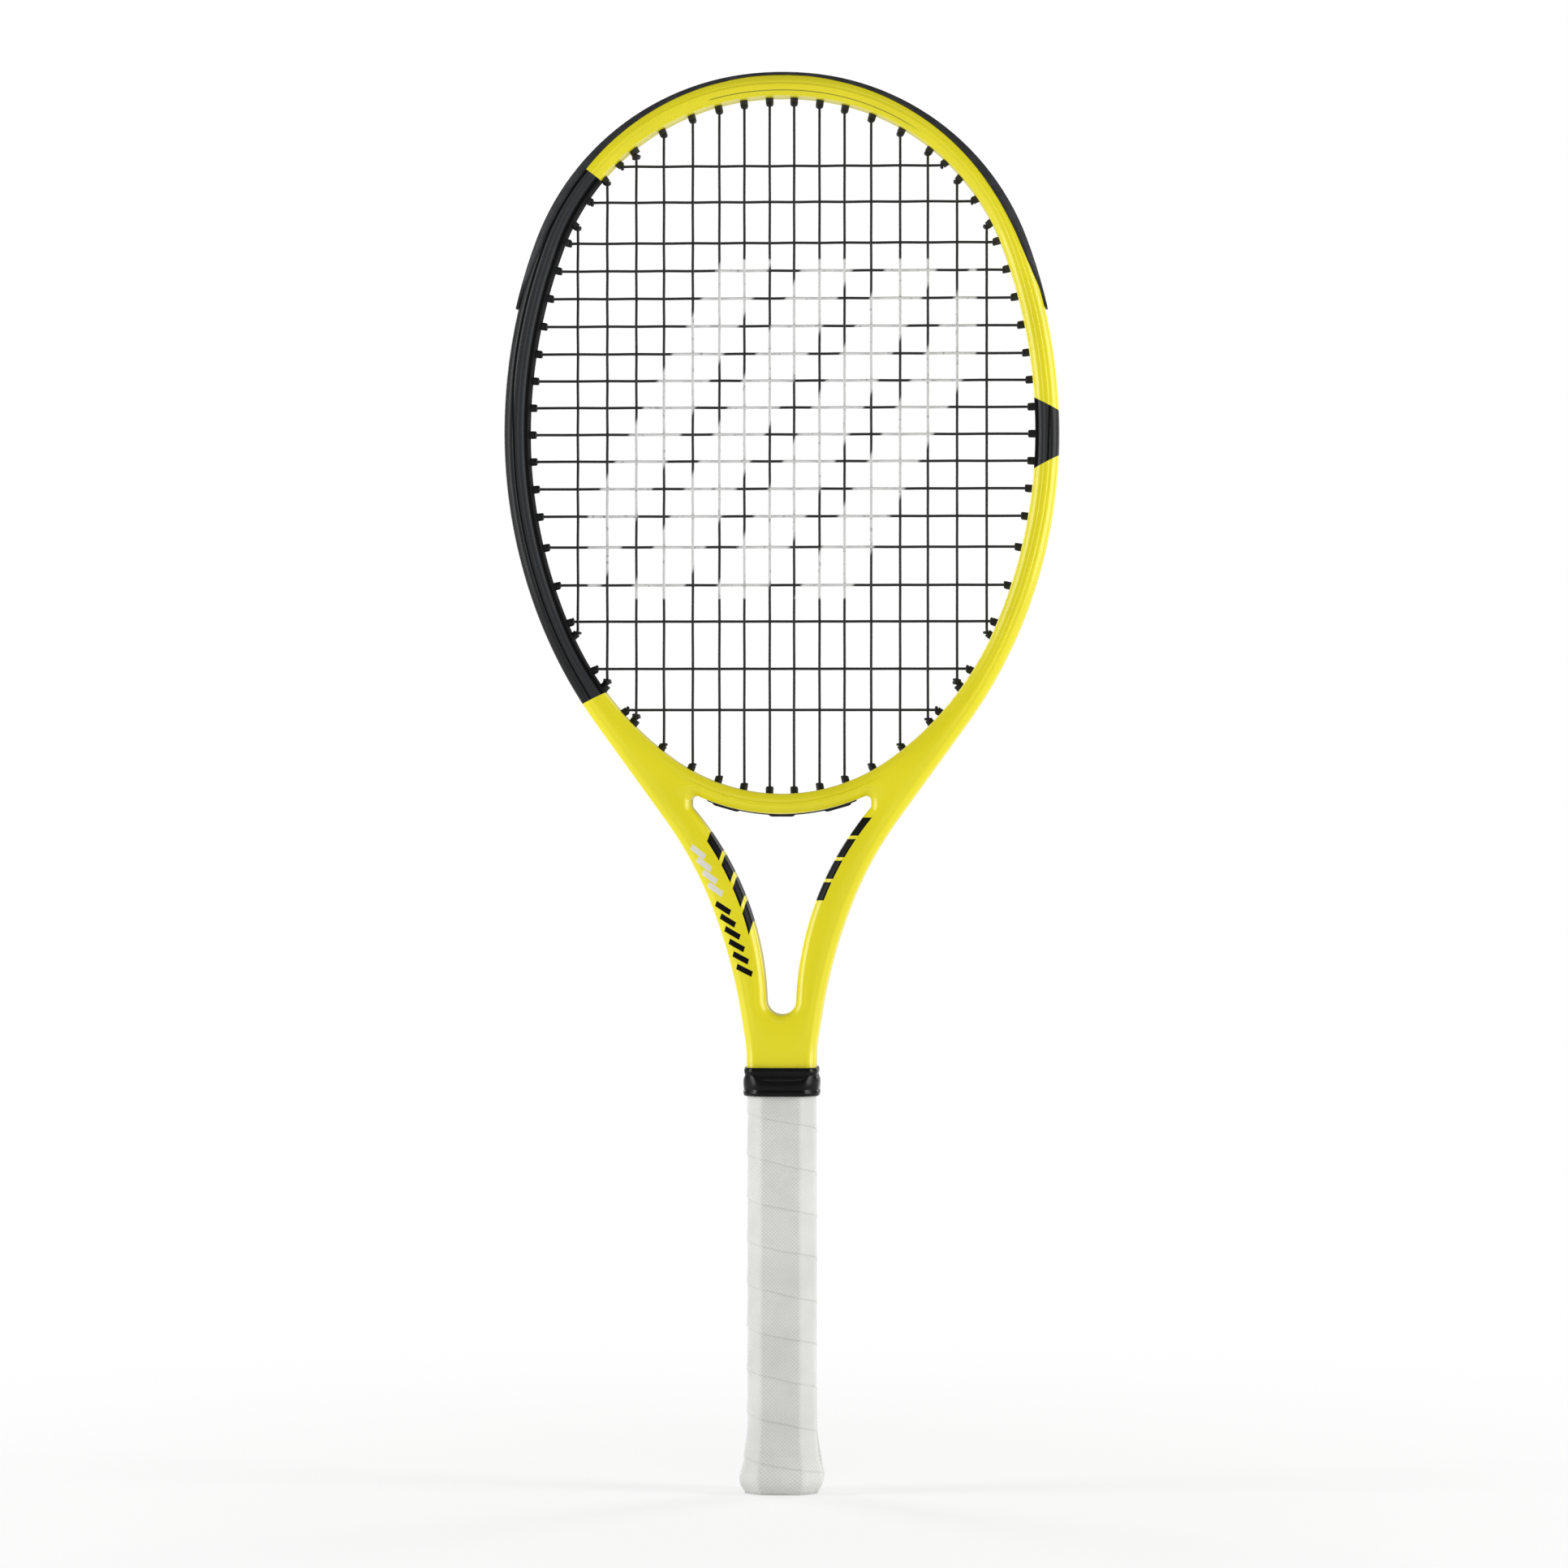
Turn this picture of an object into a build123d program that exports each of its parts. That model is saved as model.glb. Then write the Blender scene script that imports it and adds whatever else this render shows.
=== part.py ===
from build123d import *
import math
import os

# A full-size tennis racket, strung, in millimetres. +Z runs from the butt to the tip, X is across
# the face and the front of the face looks along -Y. The origin is the centre of the butt's end face.

# ---- Driving dimensions --------------------------------------------------------------------------
LENGTH = 685.8  # the standard adult length, butt face to bumper
WIDEST_Z = 512.0  # height of the head's widest line
OUTER_HALF_WIDTH = 134.1
OPENING_HALF_WIDTH = 122.5
OPENING_TOP_Z = 674.3
OPENING_BOTTOM_Z = 337.6

FRAME_DEPTH = 25.0  # the beam, front to back
FRAME_BEVEL = 3.2
FRAME_WALL = 1.4
GROOVE_DEPTH = 3.5  # the string groove round the outside of the head
GROOVE_HALF_WIDTH = 3.6
GROOVE_END_Z = 314.0

# Three tangent arcs make each quarter of the head: the end arc's radius and the two lean angles
# where one arc gives way to the next. The other two radii follow from the half sizes.
OUTER_TOP_ARCS = (148.0, 5.2, 69.6)
OPENING_TOP_ARCS = (138.0, 5.2, 69.6)
OPENING_BOTTOM_ARCS = (90.4, 35.9, 66.1)

# The outside of a shaft from the widest line down: radius, then turn in degrees, left positive
SIDE_ARCS = ((247.5, -20.4), (232.4, -15.5))
SHAFT_ARCS = ((186.9, 14.6), (255.7, 12.3))
SHAFT_FLARE_RUN = 12.7
SHAFT_FLARE_ARC = (60.0, 9.0)
STEM_HALF_WIDTH = 16.6  # the parallel stem that the collar sits on
STEM_FOOT_Z = 196.0

# The opening between the shafts, and the bridge that closes the head
THROAT_BOTTOM_Z = 230.8
THROAT_FOOT_ARC = (7.2, 88.1)
THROAT_SIDE_ARC = (151.4, -46.0)
THROAT_HALF_WIDTH = 43.5
THROAT_CORNER_RADIUS = 2.6
BRIDGE_RADIUS = 98.0
BRIDGE_LOW_Z = 327.8
BRIDGE_JOINT_LOW = (31.8, 320.0)  # two points on the glued joint between bridge and shaft
BRIDGE_JOINT_HIGH = (88.0, 400.0)
BRIDGE_GROOVE_DEPTH = 1.2

# The two tube ends inside the handle
TAIL_HALF_WIDTH = 12.5
TAIL_HALF_DEPTH = 9.5
TAIL_FOOT_Z = 3.2
TAIL_ROUNDING = 3.0
BORE_ROUNDING = 2.0
WEB_THICKNESS = 1.6

# Strings: eight mains each side of the centre, and the gaps between crosses from the top down
STRING_DIAMETER = 1.3
MAIN_OFFSETS = (5.9, 18.2, 30.3, 43.2, 57.2, 70.6, 84.7, 99.0)
TOP_CROSS_Z = 641.2
CROSS_GAPS = (17.4, 19.8) + (13.4,) * 4 + (13.0,) * 4 + (13.3,) * 2 + (14.9, 18.4, 17.6, 22.9, 19.9)
WEAVE = 1.24  # how far a route point stands off the string plane; the arc there passes nearer
EDGE_WEAVE = 0.9  # the same beside a grommet
EDGE_RUN = 6.0  # a shorter run than this to the grommet counts as beside it
BEND_INSIDE = 2.9  # a string bends towards its hole this far inside the head
BEND_CLEARANCE = 1.5  # strings cross no nearer than this to a bend
HOLE_LEAN = 0.75  # 0 drills a hole along its string, 1 square to the frame
LOOP_DEPTH = 1.1  # the string's centre below the frame's outline, out in the groove
THROAT_LOOP_STAND = 0.9  # the same on the bridge, where the loops stand proud
LANE = 2.0  # a loop that passes another hole keeps this far off the middle
TIE_SIDE = 0.66  # two strings share a tie-off hole, one each side of its middle
LOOP_RADIUS = 2.0
LOOP_TURN = 50.0  # a route that turns more than this is a loop outside the frame
FILLET_SHARE = 0.45  # of the shorter run, the most that an arc takes up
MOUTH_RADIUS = 4.0

# Plastic trim
BARREL_RADIUS = 1.9
BARREL_BORE = 0.95
TIE_BARREL_RADIUS = 2.35
TIE_BORE = 1.45
HOLE_CLEARANCE = 0.1
STUB = 2.4  # how far a grommet barrel stands into the head
STRIP_BASE = 0.8
STRIP_HALF_WIDTH = 3.45
STRIP_RECESS = 0.3  # the strip's lips lie this far below the frame's outline
STRIP_SEAT = 0.05  # gap between a strip's base and the groove's floor
STRIP_END_GAP = 0.2
THROAT_STRIP_PROUD = 0.6
BARREL_SINK = 0.3  # a barrel runs this far into its strip's base
BORE_OVERRUN = 2.0  # a bore runs this far past both ends of its barrel
CHANNEL_HALF_WIDTH = 2.75
BUMPER_WALL = 1.2
BUMPER_HALF_DEPTH = 9.0
BUMPER_END_Z = 572.0
SHOULDER_TOP_Z = 411.0
THROAT_STRIP_HALF_LENGTH = 36.0
KNOT_RADIUS = 2.1
KNOT_LENGTH = 3.2
KNOT_OFFSET = 0.8  # from the string's bend to the knot
KNOT_ROUNDING = 1.2

# Handle: octagons are (half width, half depth, bevel)
GRIP_OUTER = (16.6, 14.75, 7.35)
TAPE = 1.55
CAP_SECTIONS = ((28.0, 0.5), (17.0, 1.6), (7.0, 4.1), (0.0, 2.3))  # height, swell over the pallet
CAP_FLOOR = 3.2
TAPE_FOOT_Z = 0.8
TAPE_TOP_Z = 195.8
FINISHING_TAPE = 0.25
FINISHING_TAPE_SEAT = 0.03  # its inside stands this far off the grip tape
FINISHING_TAPE_FOOT_Z = 192.3
BADGE_RADIUS = 10.0
BADGE_THICKNESS = 0.8
STAPLE_HALF_WIRE = 0.5
STAPLE_HALF_SPAN = 4.0
STAPLE_LEG = 5.2
STAPLE_Z = 14.0
STAPLE_SWELL = 1.95  # how far the cap's skirt stands out over the pallet there
TACK_Z = 5.0
TACK_SWELL = 3.2
TACK_HEAD_RADIUS = 2.2
TACK_HEAD_THICKNESS = 0.6
TACK_SHANK_RADIUS = 0.5
TACK_LENGTH = 4.5

# Collar: height, then half width, half depth and bevel outside
COLLAR_FOOT_Z = 191.7
COLLAR_TOP_Z = 205.5
COLLAR_LEDGE_Z = 197.5
COLLAR_GAP = 0.25
COLLAR_SECTIONS = (
    (COLLAR_FOOT_Z, 18.1, 16.2, 7.6),
    (193.0, 18.5, 16.65, 7.7),
    (199.0, 18.5, 16.65, 7.7),
    (201.0, 17.6, 13.9, 4.2),
    (203.6, 17.6, 13.7, 3.9),
    (204.1, 18.1, 14.3, 4.0),
    (COLLAR_TOP_Z, 17.9, 14.2, 4.0),
)

FRAME_TOP_Z = LENGTH - BUMPER_WALL
HALF_DEPTH = FRAME_DEPTH / 2
MAINS = len(MAIN_OFFSETS)
CROSS_Z = [TOP_CROSS_Z - sum(CROSS_GAPS[:row]) for row in range(len(CROSS_GAPS) + 1)]
FAR = 400.0  # larger than the racket's width, for cutting blocks


# ---- Outlines, drawn flat with Z up the page -----------------------------------------------------
def quarter(half_width, half_height, shape):
    """Radius and turn of the three tangent arcs from an oval's end to its widest point."""
    end_radius, lean_1, lean_2 = shape
    sines = [math.sin(math.radians(lean)) for lean in (0, lean_1, lean_2, 90)]
    cosines = [math.cos(math.radians(lean)) for lean in (0, lean_1, lean_2, 90)]
    width_left = half_width - end_radius * sines[1]
    height_left = half_height - end_radius * (1 - cosines[1])
    middle_width, side_width = sines[2] - sines[1], sines[3] - sines[2]
    middle_height, side_height = cosines[1] - cosines[2], cosines[2] - cosines[3]
    scale = middle_width * side_height - side_width * middle_height
    middle = (width_left * side_height - side_width * height_left) / scale
    side = (middle_width * height_left - middle_height * width_left) / scale
    return [(end_radius, lean_1), (middle, lean_2 - lean_1), (side, 90 - lean_2)]


def trace(start, heading, steps):
    """Edges of tangent arcs (radius, turn) and straight runs (length, 0), one after the other."""
    edges = []
    point = Vector(*start)
    direction = Vector(math.cos(math.radians(heading)), math.sin(math.radians(heading)))
    for size, turn in steps:
        if turn:
            edge = JernArc(point, direction, size, turn)
        else:
            edge = Line(point, point + direction * size)
        edges.append(edge)
        point = edge @ 1
        direction = edge % 1
    return edges


TOP_ARCS = quarter(OUTER_HALF_WIDTH, FRAME_TOP_Z - WIDEST_Z, OUTER_TOP_ARCS)
OPENING_TOP = quarter(OPENING_HALF_WIDTH, OPENING_TOP_Z - WIDEST_Z, OPENING_TOP_ARCS)
OPENING_BOTTOM = quarter(OPENING_HALF_WIDTH, WIDEST_Z - OPENING_BOTTOM_Z, OPENING_BOTTOM_ARCS)


def shaft_steps():
    """The outside of a shaft; its straight run takes up what the arcs leave over."""
    arcs = [*SIDE_ARCS, *SHAFT_ARCS, (SHAFT_FLARE_RUN, 0), SHAFT_FLARE_ARC]
    leaving = -sum(turn for _, turn in SIDE_ARCS)
    reached = trace((OUTER_HALF_WIDTH, WIDEST_Z), -90, arcs)[-1] @ 1
    run = (reached.X - STEM_HALF_WIDTH) / math.sin(math.radians(leaving))
    return [*SIDE_ARCS, (run, 0), *arcs[len(SIDE_ARCS) :]]


OUTER_STEPS = [(radius, -turn) for radius, turn in TOP_ARCS] + shaft_steps()


def inset_steps(steps, inset):
    """The same run of arcs moved inwards: right turns tighten and left turns open."""
    return [(size + (inset if turn > 0 else -inset) if turn else size, turn) for size, turn in steps]


def outer_edges(inset):
    edges = trace((0, FRAME_TOP_Z - inset), 0, inset_steps(OUTER_STEPS, inset))
    end = edges[-1] @ 1
    return edges + [Line(end, (end.X, STEM_FOOT_Z))]


def closed_face(right_half):
    """The face between a right half outline and its mirror image."""
    first, last = right_half[0] @ 0, right_half[-1] @ 1
    edges = right_half + [mirror(edge, Plane.YZ) for edge in right_half]
    if abs(last.X) > 0.001:
        edges.append(Line((last.X, last.Y), (-last.X, last.Y)))
    if abs(first.X) > 0.001:
        edges.append(Line((first.X, first.Y), (-first.X, first.Y)))
    return make_face(edges)


def outer_face(inset=0.0):
    return closed_face(outer_edges(inset))


def opening_edges(grow=0.0):
    steps = [(radius + grow, -turn) for radius, turn in OPENING_TOP + OPENING_BOTTOM[::-1]]
    return trace((0, OPENING_TOP_Z + grow), 0, steps)


def throat_face(grow=0.0):
    sides = closed_face(trace((0, THROAT_BOTTOM_Z), 0, [THROAT_FOOT_ARC, THROAT_SIDE_ARC]))
    bridge = Pos(0, BRIDGE_LOW_Z + BRIDGE_RADIUS) * Circle(BRIDGE_RADIUS)
    between = Pos(0, BRIDGE_LOW_Z) * Rectangle(2 * THROAT_HALF_WIDTH, FAR)
    opening = (sides & between) - bridge
    corners = opening.vertices().filter_by(lambda corner: abs(corner.X) > THROAT_HALF_WIDTH - 0.01)
    opening = fillet(corners, THROAT_CORNER_RADIUS)
    return offset(opening, grow) if grow else opening


def thick(face, half_depth):
    """The solid of a flat outline, centred on the string plane."""
    return extrude(Plane.XZ * face, half_depth, both=True)


def band(inset_out, inset_in, half_depth, low_z, high_z):
    """A ring that follows the frame's outside between two insets and two heights."""
    height = Pos(0, (low_z + high_z) / 2) * Rectangle(FAR, high_z - low_z)
    return thick((outer_face(inset_out) - outer_face(inset_in)) & height, half_depth)


def joint_wedge(grow=0.0):
    """The block between the two glued joints of the bridge."""
    low, high = BRIDGE_JOINT_LOW, BRIDGE_JOINT_HIGH
    right = [(low[0] + grow, low[1]), (high[0] + grow, high[1])]
    left = [(-x, z) for x, z in reversed(right)]
    return thick(Polygon(*right, *left, align=None), FAR / 4)


# ---- Holes and string routes ---------------------------------------------------------------------
def outward(lean):
    """The direction that leans this far from +Z towards +X, flat on the page."""
    return Vector(math.sin(math.radians(lean)), math.cos(math.radians(lean)))


def oval_point(steps_top, steps_bottom, lean, grow):
    """The point of the opening where its outward normal leans this far from +Z towards +X."""
    point = Vector(0, OPENING_TOP_Z + grow)
    turned = 0.0
    for radius, turn in steps_top + steps_bottom[::-1]:
        centre = point - outward(turned) * (radius + grow)
        turned += min(turn, lean - turned)
        point = centre + outward(turned) * (radius + grow)
        if turned >= lean:
            break
    return point


def bend_point(offset_x=None, height=None, bottom=False):
    """Where a string's line meets the bend line inside the head, on the right half, and the lean."""
    low, high = (90.0, 180.0) if bottom else (0.0, 90.0)
    for _ in range(50):
        lean = (low + high) / 2
        point = oval_point(OPENING_TOP, OPENING_BOTTOM, lean, -BEND_INSIDE)
        past = point.X > offset_x if height is None else point.Y < height
        past = past != (height is None and bottom)
        low, high = (low, lean) if past else (lean, high)
    return point, lean


OUTLINES = {inset: outer_edges(inset) for inset in (LOOP_DEPTH, GROOVE_DEPTH - STRIP_BASE)}


def outline_hit(point, direction, inset):
    """Where a line from inside the head crosses the frame's outline at an inset."""
    reach = Line(point, point + direction * 60)
    hits = [hit for edge in OUTLINES[inset] for hit in edge.find_intersection_points(reach)]
    return min(hits, key=lambda hit: (hit - point).length)


def hole(offset_x=None, height=None, bottom=False):
    """A string hole of the right half: its bend point, direction and the loop point outside."""
    point, lean = bend_point(offset_x, height, bottom)
    string_lean = 90.0 if height is not None else (180.0 if bottom else 0.0)
    drilled = math.radians(string_lean + HOLE_LEAN * (lean - string_lean))
    direction = Vector(math.sin(drilled), math.cos(drilled))
    in_bridge = bottom and height is None and offset_x < THROAT_STRIP_HALF_LENGTH
    if in_bridge:
        centre = Vector(0, BRIDGE_LOW_Z + BRIDGE_RADIUS)
        reach = Line(point, point + direction * 30)
        rim = CenterArc(centre, BRIDGE_RADIUS + THROAT_LOOP_STAND, 180, 180)
        outside = rim.find_intersection_points(reach)[0]
    else:
        outside = outline_hit(point, direction, LOOP_DEPTH)
    return {"bend": point, "direction": direction, "outside": outside, "in_bridge": in_bridge}


HOLES = {("top", main): hole(offset_x=MAIN_OFFSETS[main]) for main in range(MAINS)}
HOLES |= {("bottom", main): hole(offset_x=MAIN_OFFSETS[main], bottom=True) for main in range(MAINS)}
HOLES |= {("cross", row): hole(height=z, bottom=z < WIDEST_Z) for row, z in enumerate(CROSS_Z)}
ROWS = len(CROSS_Z)

# Tie-off holes: the cross string at the left of the sixth mains, the main string at both sevenths
TIES = {("top", 5, -1): "cross", ("bottom", 5, -1): "cross"}
TIES |= {("bottom", 6, side): "main" for side in (-1, 1)}


def place(point, side, y=0.0):
    """A flat point of the right half as a point in space, mirrored for the left side."""
    return Vector(side * point.X, y, point.Y)


def meets(main, row):
    """Whether a main and a cross pass inside both strings' bends."""
    top, bottom = HOLES["top", main]["bend"].Y, HOLES["bottom", main]["bend"].Y
    inside = bottom + BEND_CLEARANCE < CROSS_Z[row] < top - BEND_CLEARANCE
    return inside and MAIN_OFFSETS[main] < HOLES["cross", row]["bend"].X - BEND_CLEARANCE


def over(main, row, side):
    """Which way the main string stands at a crossing: over and under in turn."""
    column = MAINS + main if side > 0 else MAINS - 1 - main
    return -1 if (column + row) % 2 else 1


def weave(run_to_grommet):
    return EDGE_WEAVE if run_to_grommet < EDGE_RUN else WEAVE


def main_side(place_name, main, side):
    """How far off the middle a main lies in its hole."""
    tie = TIES.get((place_name, main, side))
    return {None: 0.0, "cross": -TIE_SIDE, "main": TIE_SIDE}[tie]


def main_run(main, side):
    """A main from its bottom loop point to its top loop point."""
    bottom, top = HOLES["bottom", main], HOLES["top", main]
    low_y, high_y = main_side("bottom", main, side), main_side("top", main, side)
    points = [place(bottom["outside"], side, low_y), place(bottom["bend"], side, low_y)]
    for row in reversed(range(ROWS)):
        if meets(main, row):
            nearest = min(CROSS_Z[row] - bottom["bend"].Y, top["bend"].Y - CROSS_Z[row])
            y = over(main, row, side) * weave(nearest)
            points.append(Vector(side * MAIN_OFFSETS[main], y, CROSS_Z[row]))
    return points + [place(top["bend"], side, high_y), place(top["outside"], side, high_y)]


def cross_run(row):
    """A cross from its left loop point to its right loop point."""
    end = HOLES["cross", row]
    points = [place(end["outside"], -1), place(end["bend"], -1)]
    columns = [(main, -1) for main in reversed(range(MAINS))] + [(main, 1) for main in range(MAINS)]
    for main, side in columns:
        if meets(main, row):
            y = -over(main, row, side) * weave(end["bend"].X - MAIN_OFFSETS[main])
            points.append(Vector(side * MAIN_OFFSETS[main], y, CROSS_Z[row]))
    return points + [place(end["bend"], 1), place(end["outside"], 1)]


def lane(start, end, y):
    """Points that keep a loop beside the holes it passes."""
    points = [start + (end - start) * share for share in (0.3, 0.7)]
    return [Vector(point.X, y, point.Z) for point in points]


PASSING_MAIN_LOOPS = {("top", 6), ("bottom", 5), ("bottom", 6)}
PASSING_CROSS_LOOPS = {(0, 1), (1, -1), (15, -1), (16, 1)}


def main_half(side):
    """The main string from its tie-off at the seventh main to the bottom of the first."""
    tie = HOLES["bottom", 6]
    points = [place(tie["bend"], side, -TIE_SIDE), place(tie["outside"], side, -TIE_SIDE)]
    upwards = True
    for main in reversed(range(MAINS)):
        run = main_run(main, side)
        run = run if upwards else run[::-1]
        end = "bottom" if upwards else "top"
        if (end, main) in PASSING_MAIN_LOOPS:
            points += lane(points[-1], run[0], -LANE)
        points += run
        upwards = not upwards
    return points


def cross_route():
    """The cross string from the left of the sixth main's top to the left of its bottom."""
    first, last = HOLES["top", 5], HOLES["bottom", 5]
    points = [place(first["bend"], -1, TIE_SIDE), place(first["outside"], -1, TIE_SIDE)]
    for row in range(ROWS):
        rightwards = row % 2 == 0
        points += cross_run(row) if rightwards else cross_run(row)[::-1]
        side = 1 if rightwards else -1
        if (row, side) in PASSING_CROSS_LOOPS:
            points += lane(points[-1], place(HOLES["cross", row + 1]["outside"], side), LANE)
    return points + [place(last["outside"], -1, TIE_SIDE), place(last["bend"], -1, TIE_SIDE)]


def string(points):
    """One string, bent round its route; the route's radii are printed."""
    radii = []
    for before, point, after in zip(points, points[1:], points[2:]):
        into, out = point - before, after - point
        turn = math.radians(into.get_angle(out))
        largest = FILLET_SHARE * min(into.length, out.length) / math.tan(turn / 2)
        if turn > math.radians(LOOP_TURN):
            largest = min(largest, LOOP_RADIUS)
        elif abs(point.Y) < EDGE_WEAVE - 0.2:
            largest = min(largest, MOUTH_RADIUS)
        radii.append(largest)
    path = FilletPolyline(*points, radius=radii)
    solid = sweep(Plane(origin=path @ 0, z_dir=path % 0) * Circle(STRING_DIAMETER / 2), path=path)
    section = math.pi * STRING_DIAMETER**2 / 4
    print("string", round(path.length), "mm, radii", round(min(radii), 2), "to", round(max(radii), 1))
    print("string volume over section times length", round(solid.volume / section / path.length, 4))
    return solid


def radial(place_point, side, direction, low, high, radius, y=0.0):
    """A cylinder along a hole, between two distances from a point on it."""
    axis = Vector(side * direction.X, 0, direction.Y)
    start = place(place_point, side, y) + axis * low
    return Plane(origin=start, z_dir=axis) * extrude(Circle(radius), high - low)


# ---- Frame ---------------------------------------------------------------------------------------
def frame_blank():
    """Head, bridge and shafts as one bevelled slab, before it is hollowed and split."""
    flat = outer_face() - closed_face(opening_edges()) - throat_face()
    slab = thick(flat, HALF_DEPTH)
    faces = slab.faces().sort_by(Axis.Y)
    rims = ShapeList(faces[0].edges() + faces[-1].edges())
    return chamfer(rims.filter_by(lambda edge: edge.center().Z > STEM_FOOT_Z + 1), FRAME_BEVEL)


def frame_hollow():
    """The space inside the tubes, clear of the string groove."""
    flat = outer_face(FRAME_WALL) - closed_face(opening_edges(FRAME_WALL)) - throat_face(FRAME_WALL)
    inner_half_depth = HALF_DEPTH - FRAME_WALL
    core = thick(flat, inner_half_depth)
    faces = core.faces().sort_by(Axis.Y)
    rims = ShapeList(faces[0].edges() + faces[-1].edges())
    core = chamfer(rims.filter_by(lambda edge: edge.center().Z > STEM_FOOT_Z + 3), FRAME_BEVEL * 0.8)
    under_groove = GROOVE_DEPTH + FRAME_WALL
    keep = band(-1, under_groove, GROOVE_HALF_WIDTH + FRAME_WALL, GROOVE_END_Z - FRAME_WALL, LENGTH)
    return core - keep


def hole_cutters(names):
    """Cylinders through the frame for the grommet barrels of these holes."""
    cutters = []
    for name in names:
        for side in (-1, 1):
            radius = TIE_BARREL_RADIUS if (*name, side) in TIES else BARREL_RADIUS
            data = HOLES[name]
            reach = (data["outside"] - data["bend"]).length + 3
            place_on = (data["bend"], side, data["direction"])
            cutters.append(radial(*place_on, -3, reach, radius + HOLE_CLEARANCE))
    return cutters


def tail():
    """The two tube ends, side by side inside the handle."""
    top = STEM_FOOT_Z + 1
    tube = Box(2 * TAIL_HALF_WIDTH, 2 * TAIL_HALF_DEPTH, top - TAIL_FOOT_Z)
    tube = Pos(0, 0, (TAIL_FOOT_Z + top) / 2) * tube
    return fillet(tube.edges().filter_by(Axis.Z), TAIL_ROUNDING)


def tail_hollow():
    top = STEM_FOOT_Z + 6
    width = TAIL_HALF_WIDTH - FRAME_WALL - WEB_THICKNESS / 2
    depth = 2 * (TAIL_HALF_DEPTH - FRAME_WALL)
    bore = Box(width, depth, top - TAIL_FOOT_Z + 2)
    bore = fillet(bore.edges().filter_by(Axis.Z), BORE_ROUNDING)
    middle = (top + TAIL_FOOT_Z - 2) / 2
    return [Pos(side * (width + WEB_THICKNESS) / 2, 0, middle) * bore for side in (-1, 1)]


def frame():
    """The hairpin tube and the moulded bridge, glued face to face."""
    blank = frame_blank()
    hollow = frame_hollow()
    groove = band(-1, GROOVE_DEPTH, GROOVE_HALF_WIDTH, GROOVE_END_Z, LENGTH)
    bridge_rim = Pos(0, BRIDGE_LOW_Z + BRIDGE_RADIUS) * Circle(BRIDGE_RADIUS + 1)
    bridge_rim -= Pos(0, BRIDGE_LOW_Z + BRIDGE_RADIUS) * Circle(BRIDGE_RADIUS - BRIDGE_GROOVE_DEPTH)
    reach = Pos(0, BRIDGE_LOW_Z) * Rectangle(2 * THROAT_STRIP_HALF_LENGTH + 0.4, 30)
    bridge_groove = thick(bridge_rim & reach, GROOVE_HALF_WIDTH)
    cutters = hole_cutters(HOLES)
    web = Pos(0, 0, STEM_FOOT_Z) * Box(WEB_THICKNESS, FRAME_DEPTH, 100)
    tube = blank - joint_wedge() + tail()
    tube = tube - (hollow - joint_wedge(FRAME_WALL) - web) - tail_hollow() - groove - cutters
    bridge = (blank & joint_wedge()) - (hollow & joint_wedge(-FRAME_WALL)) - bridge_groove - cutters
    return tube, bridge


# ---- Grommets, bumper and strings ----------------------------------------------------------------
def barrels(names, sides, base_inset):
    """Grommet barrels from the strip's base to just inside the head, and their bores."""
    tubes, bores = [], []
    for name in names:
        for side in sides:
            data = HOLES[name]
            tied = (*name, side) in TIES
            if data["in_bridge"]:
                base = (data["outside"] - data["bend"]).length - THROAT_LOOP_STAND - BARREL_SINK
            else:
                hit = outline_hit(data["bend"], data["direction"], base_inset)
                base = (hit - data["bend"]).length + BARREL_SINK
            start = BEND_INSIDE - STUB
            radius, bore = (TIE_BARREL_RADIUS, TIE_BORE) if tied else (BARREL_RADIUS, BARREL_BORE)
            place_on = (data["bend"], side, data["direction"])
            tubes.append(radial(*place_on, start, base, radius))
            bores.append(radial(*place_on, start - BORE_OVERRUN, base + BORE_OVERRUN, bore))
    return tubes, bores


def groove_strip(names, sides, low_z, high_z):
    """A channel-shaped strip in the groove with a barrel for each hole."""
    floor, top = GROOVE_DEPTH - STRIP_SEAT, GROOVE_DEPTH - STRIP_BASE
    strip = band(STRIP_RECESS, floor, STRIP_HALF_WIDTH, low_z, high_z)
    strip -= band(-1, top, CHANNEL_HALF_WIDTH, low_z - 5, high_z + 5)
    if len(sides) == 1:
        strip &= Pos(sides[0] * FAR / 2, 0, LENGTH / 2) * Box(FAR, FAR, 2 * LENGTH)
    tubes, bores = barrels(names, sides, top)
    return strip + tubes - bores


def bumper_guard():
    names = [("top", main) for main in range(MAINS)]
    rows = [row for row in range(ROWS) if HOLES["cross", row]["outside"].Y > BUMPER_END_Z]
    names += [("cross", row) for row in rows]
    guard = band(-BUMPER_WALL, 0, BUMPER_HALF_DEPTH, BUMPER_END_Z, LENGTH + 5)
    guard += band(-BUMPER_WALL, GROOVE_DEPTH - STRIP_SEAT, STRIP_HALF_WIDTH, BUMPER_END_Z, LENGTH + 5)
    top = GROOVE_DEPTH - STRIP_BASE
    guard -= band(-BUMPER_WALL - 1, top, CHANNEL_HALF_WIDTH, BUMPER_END_Z - 5, LENGTH + 10)
    tubes, bores = barrels(names, (-1, 1), top)
    return guard + tubes - bores


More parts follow.
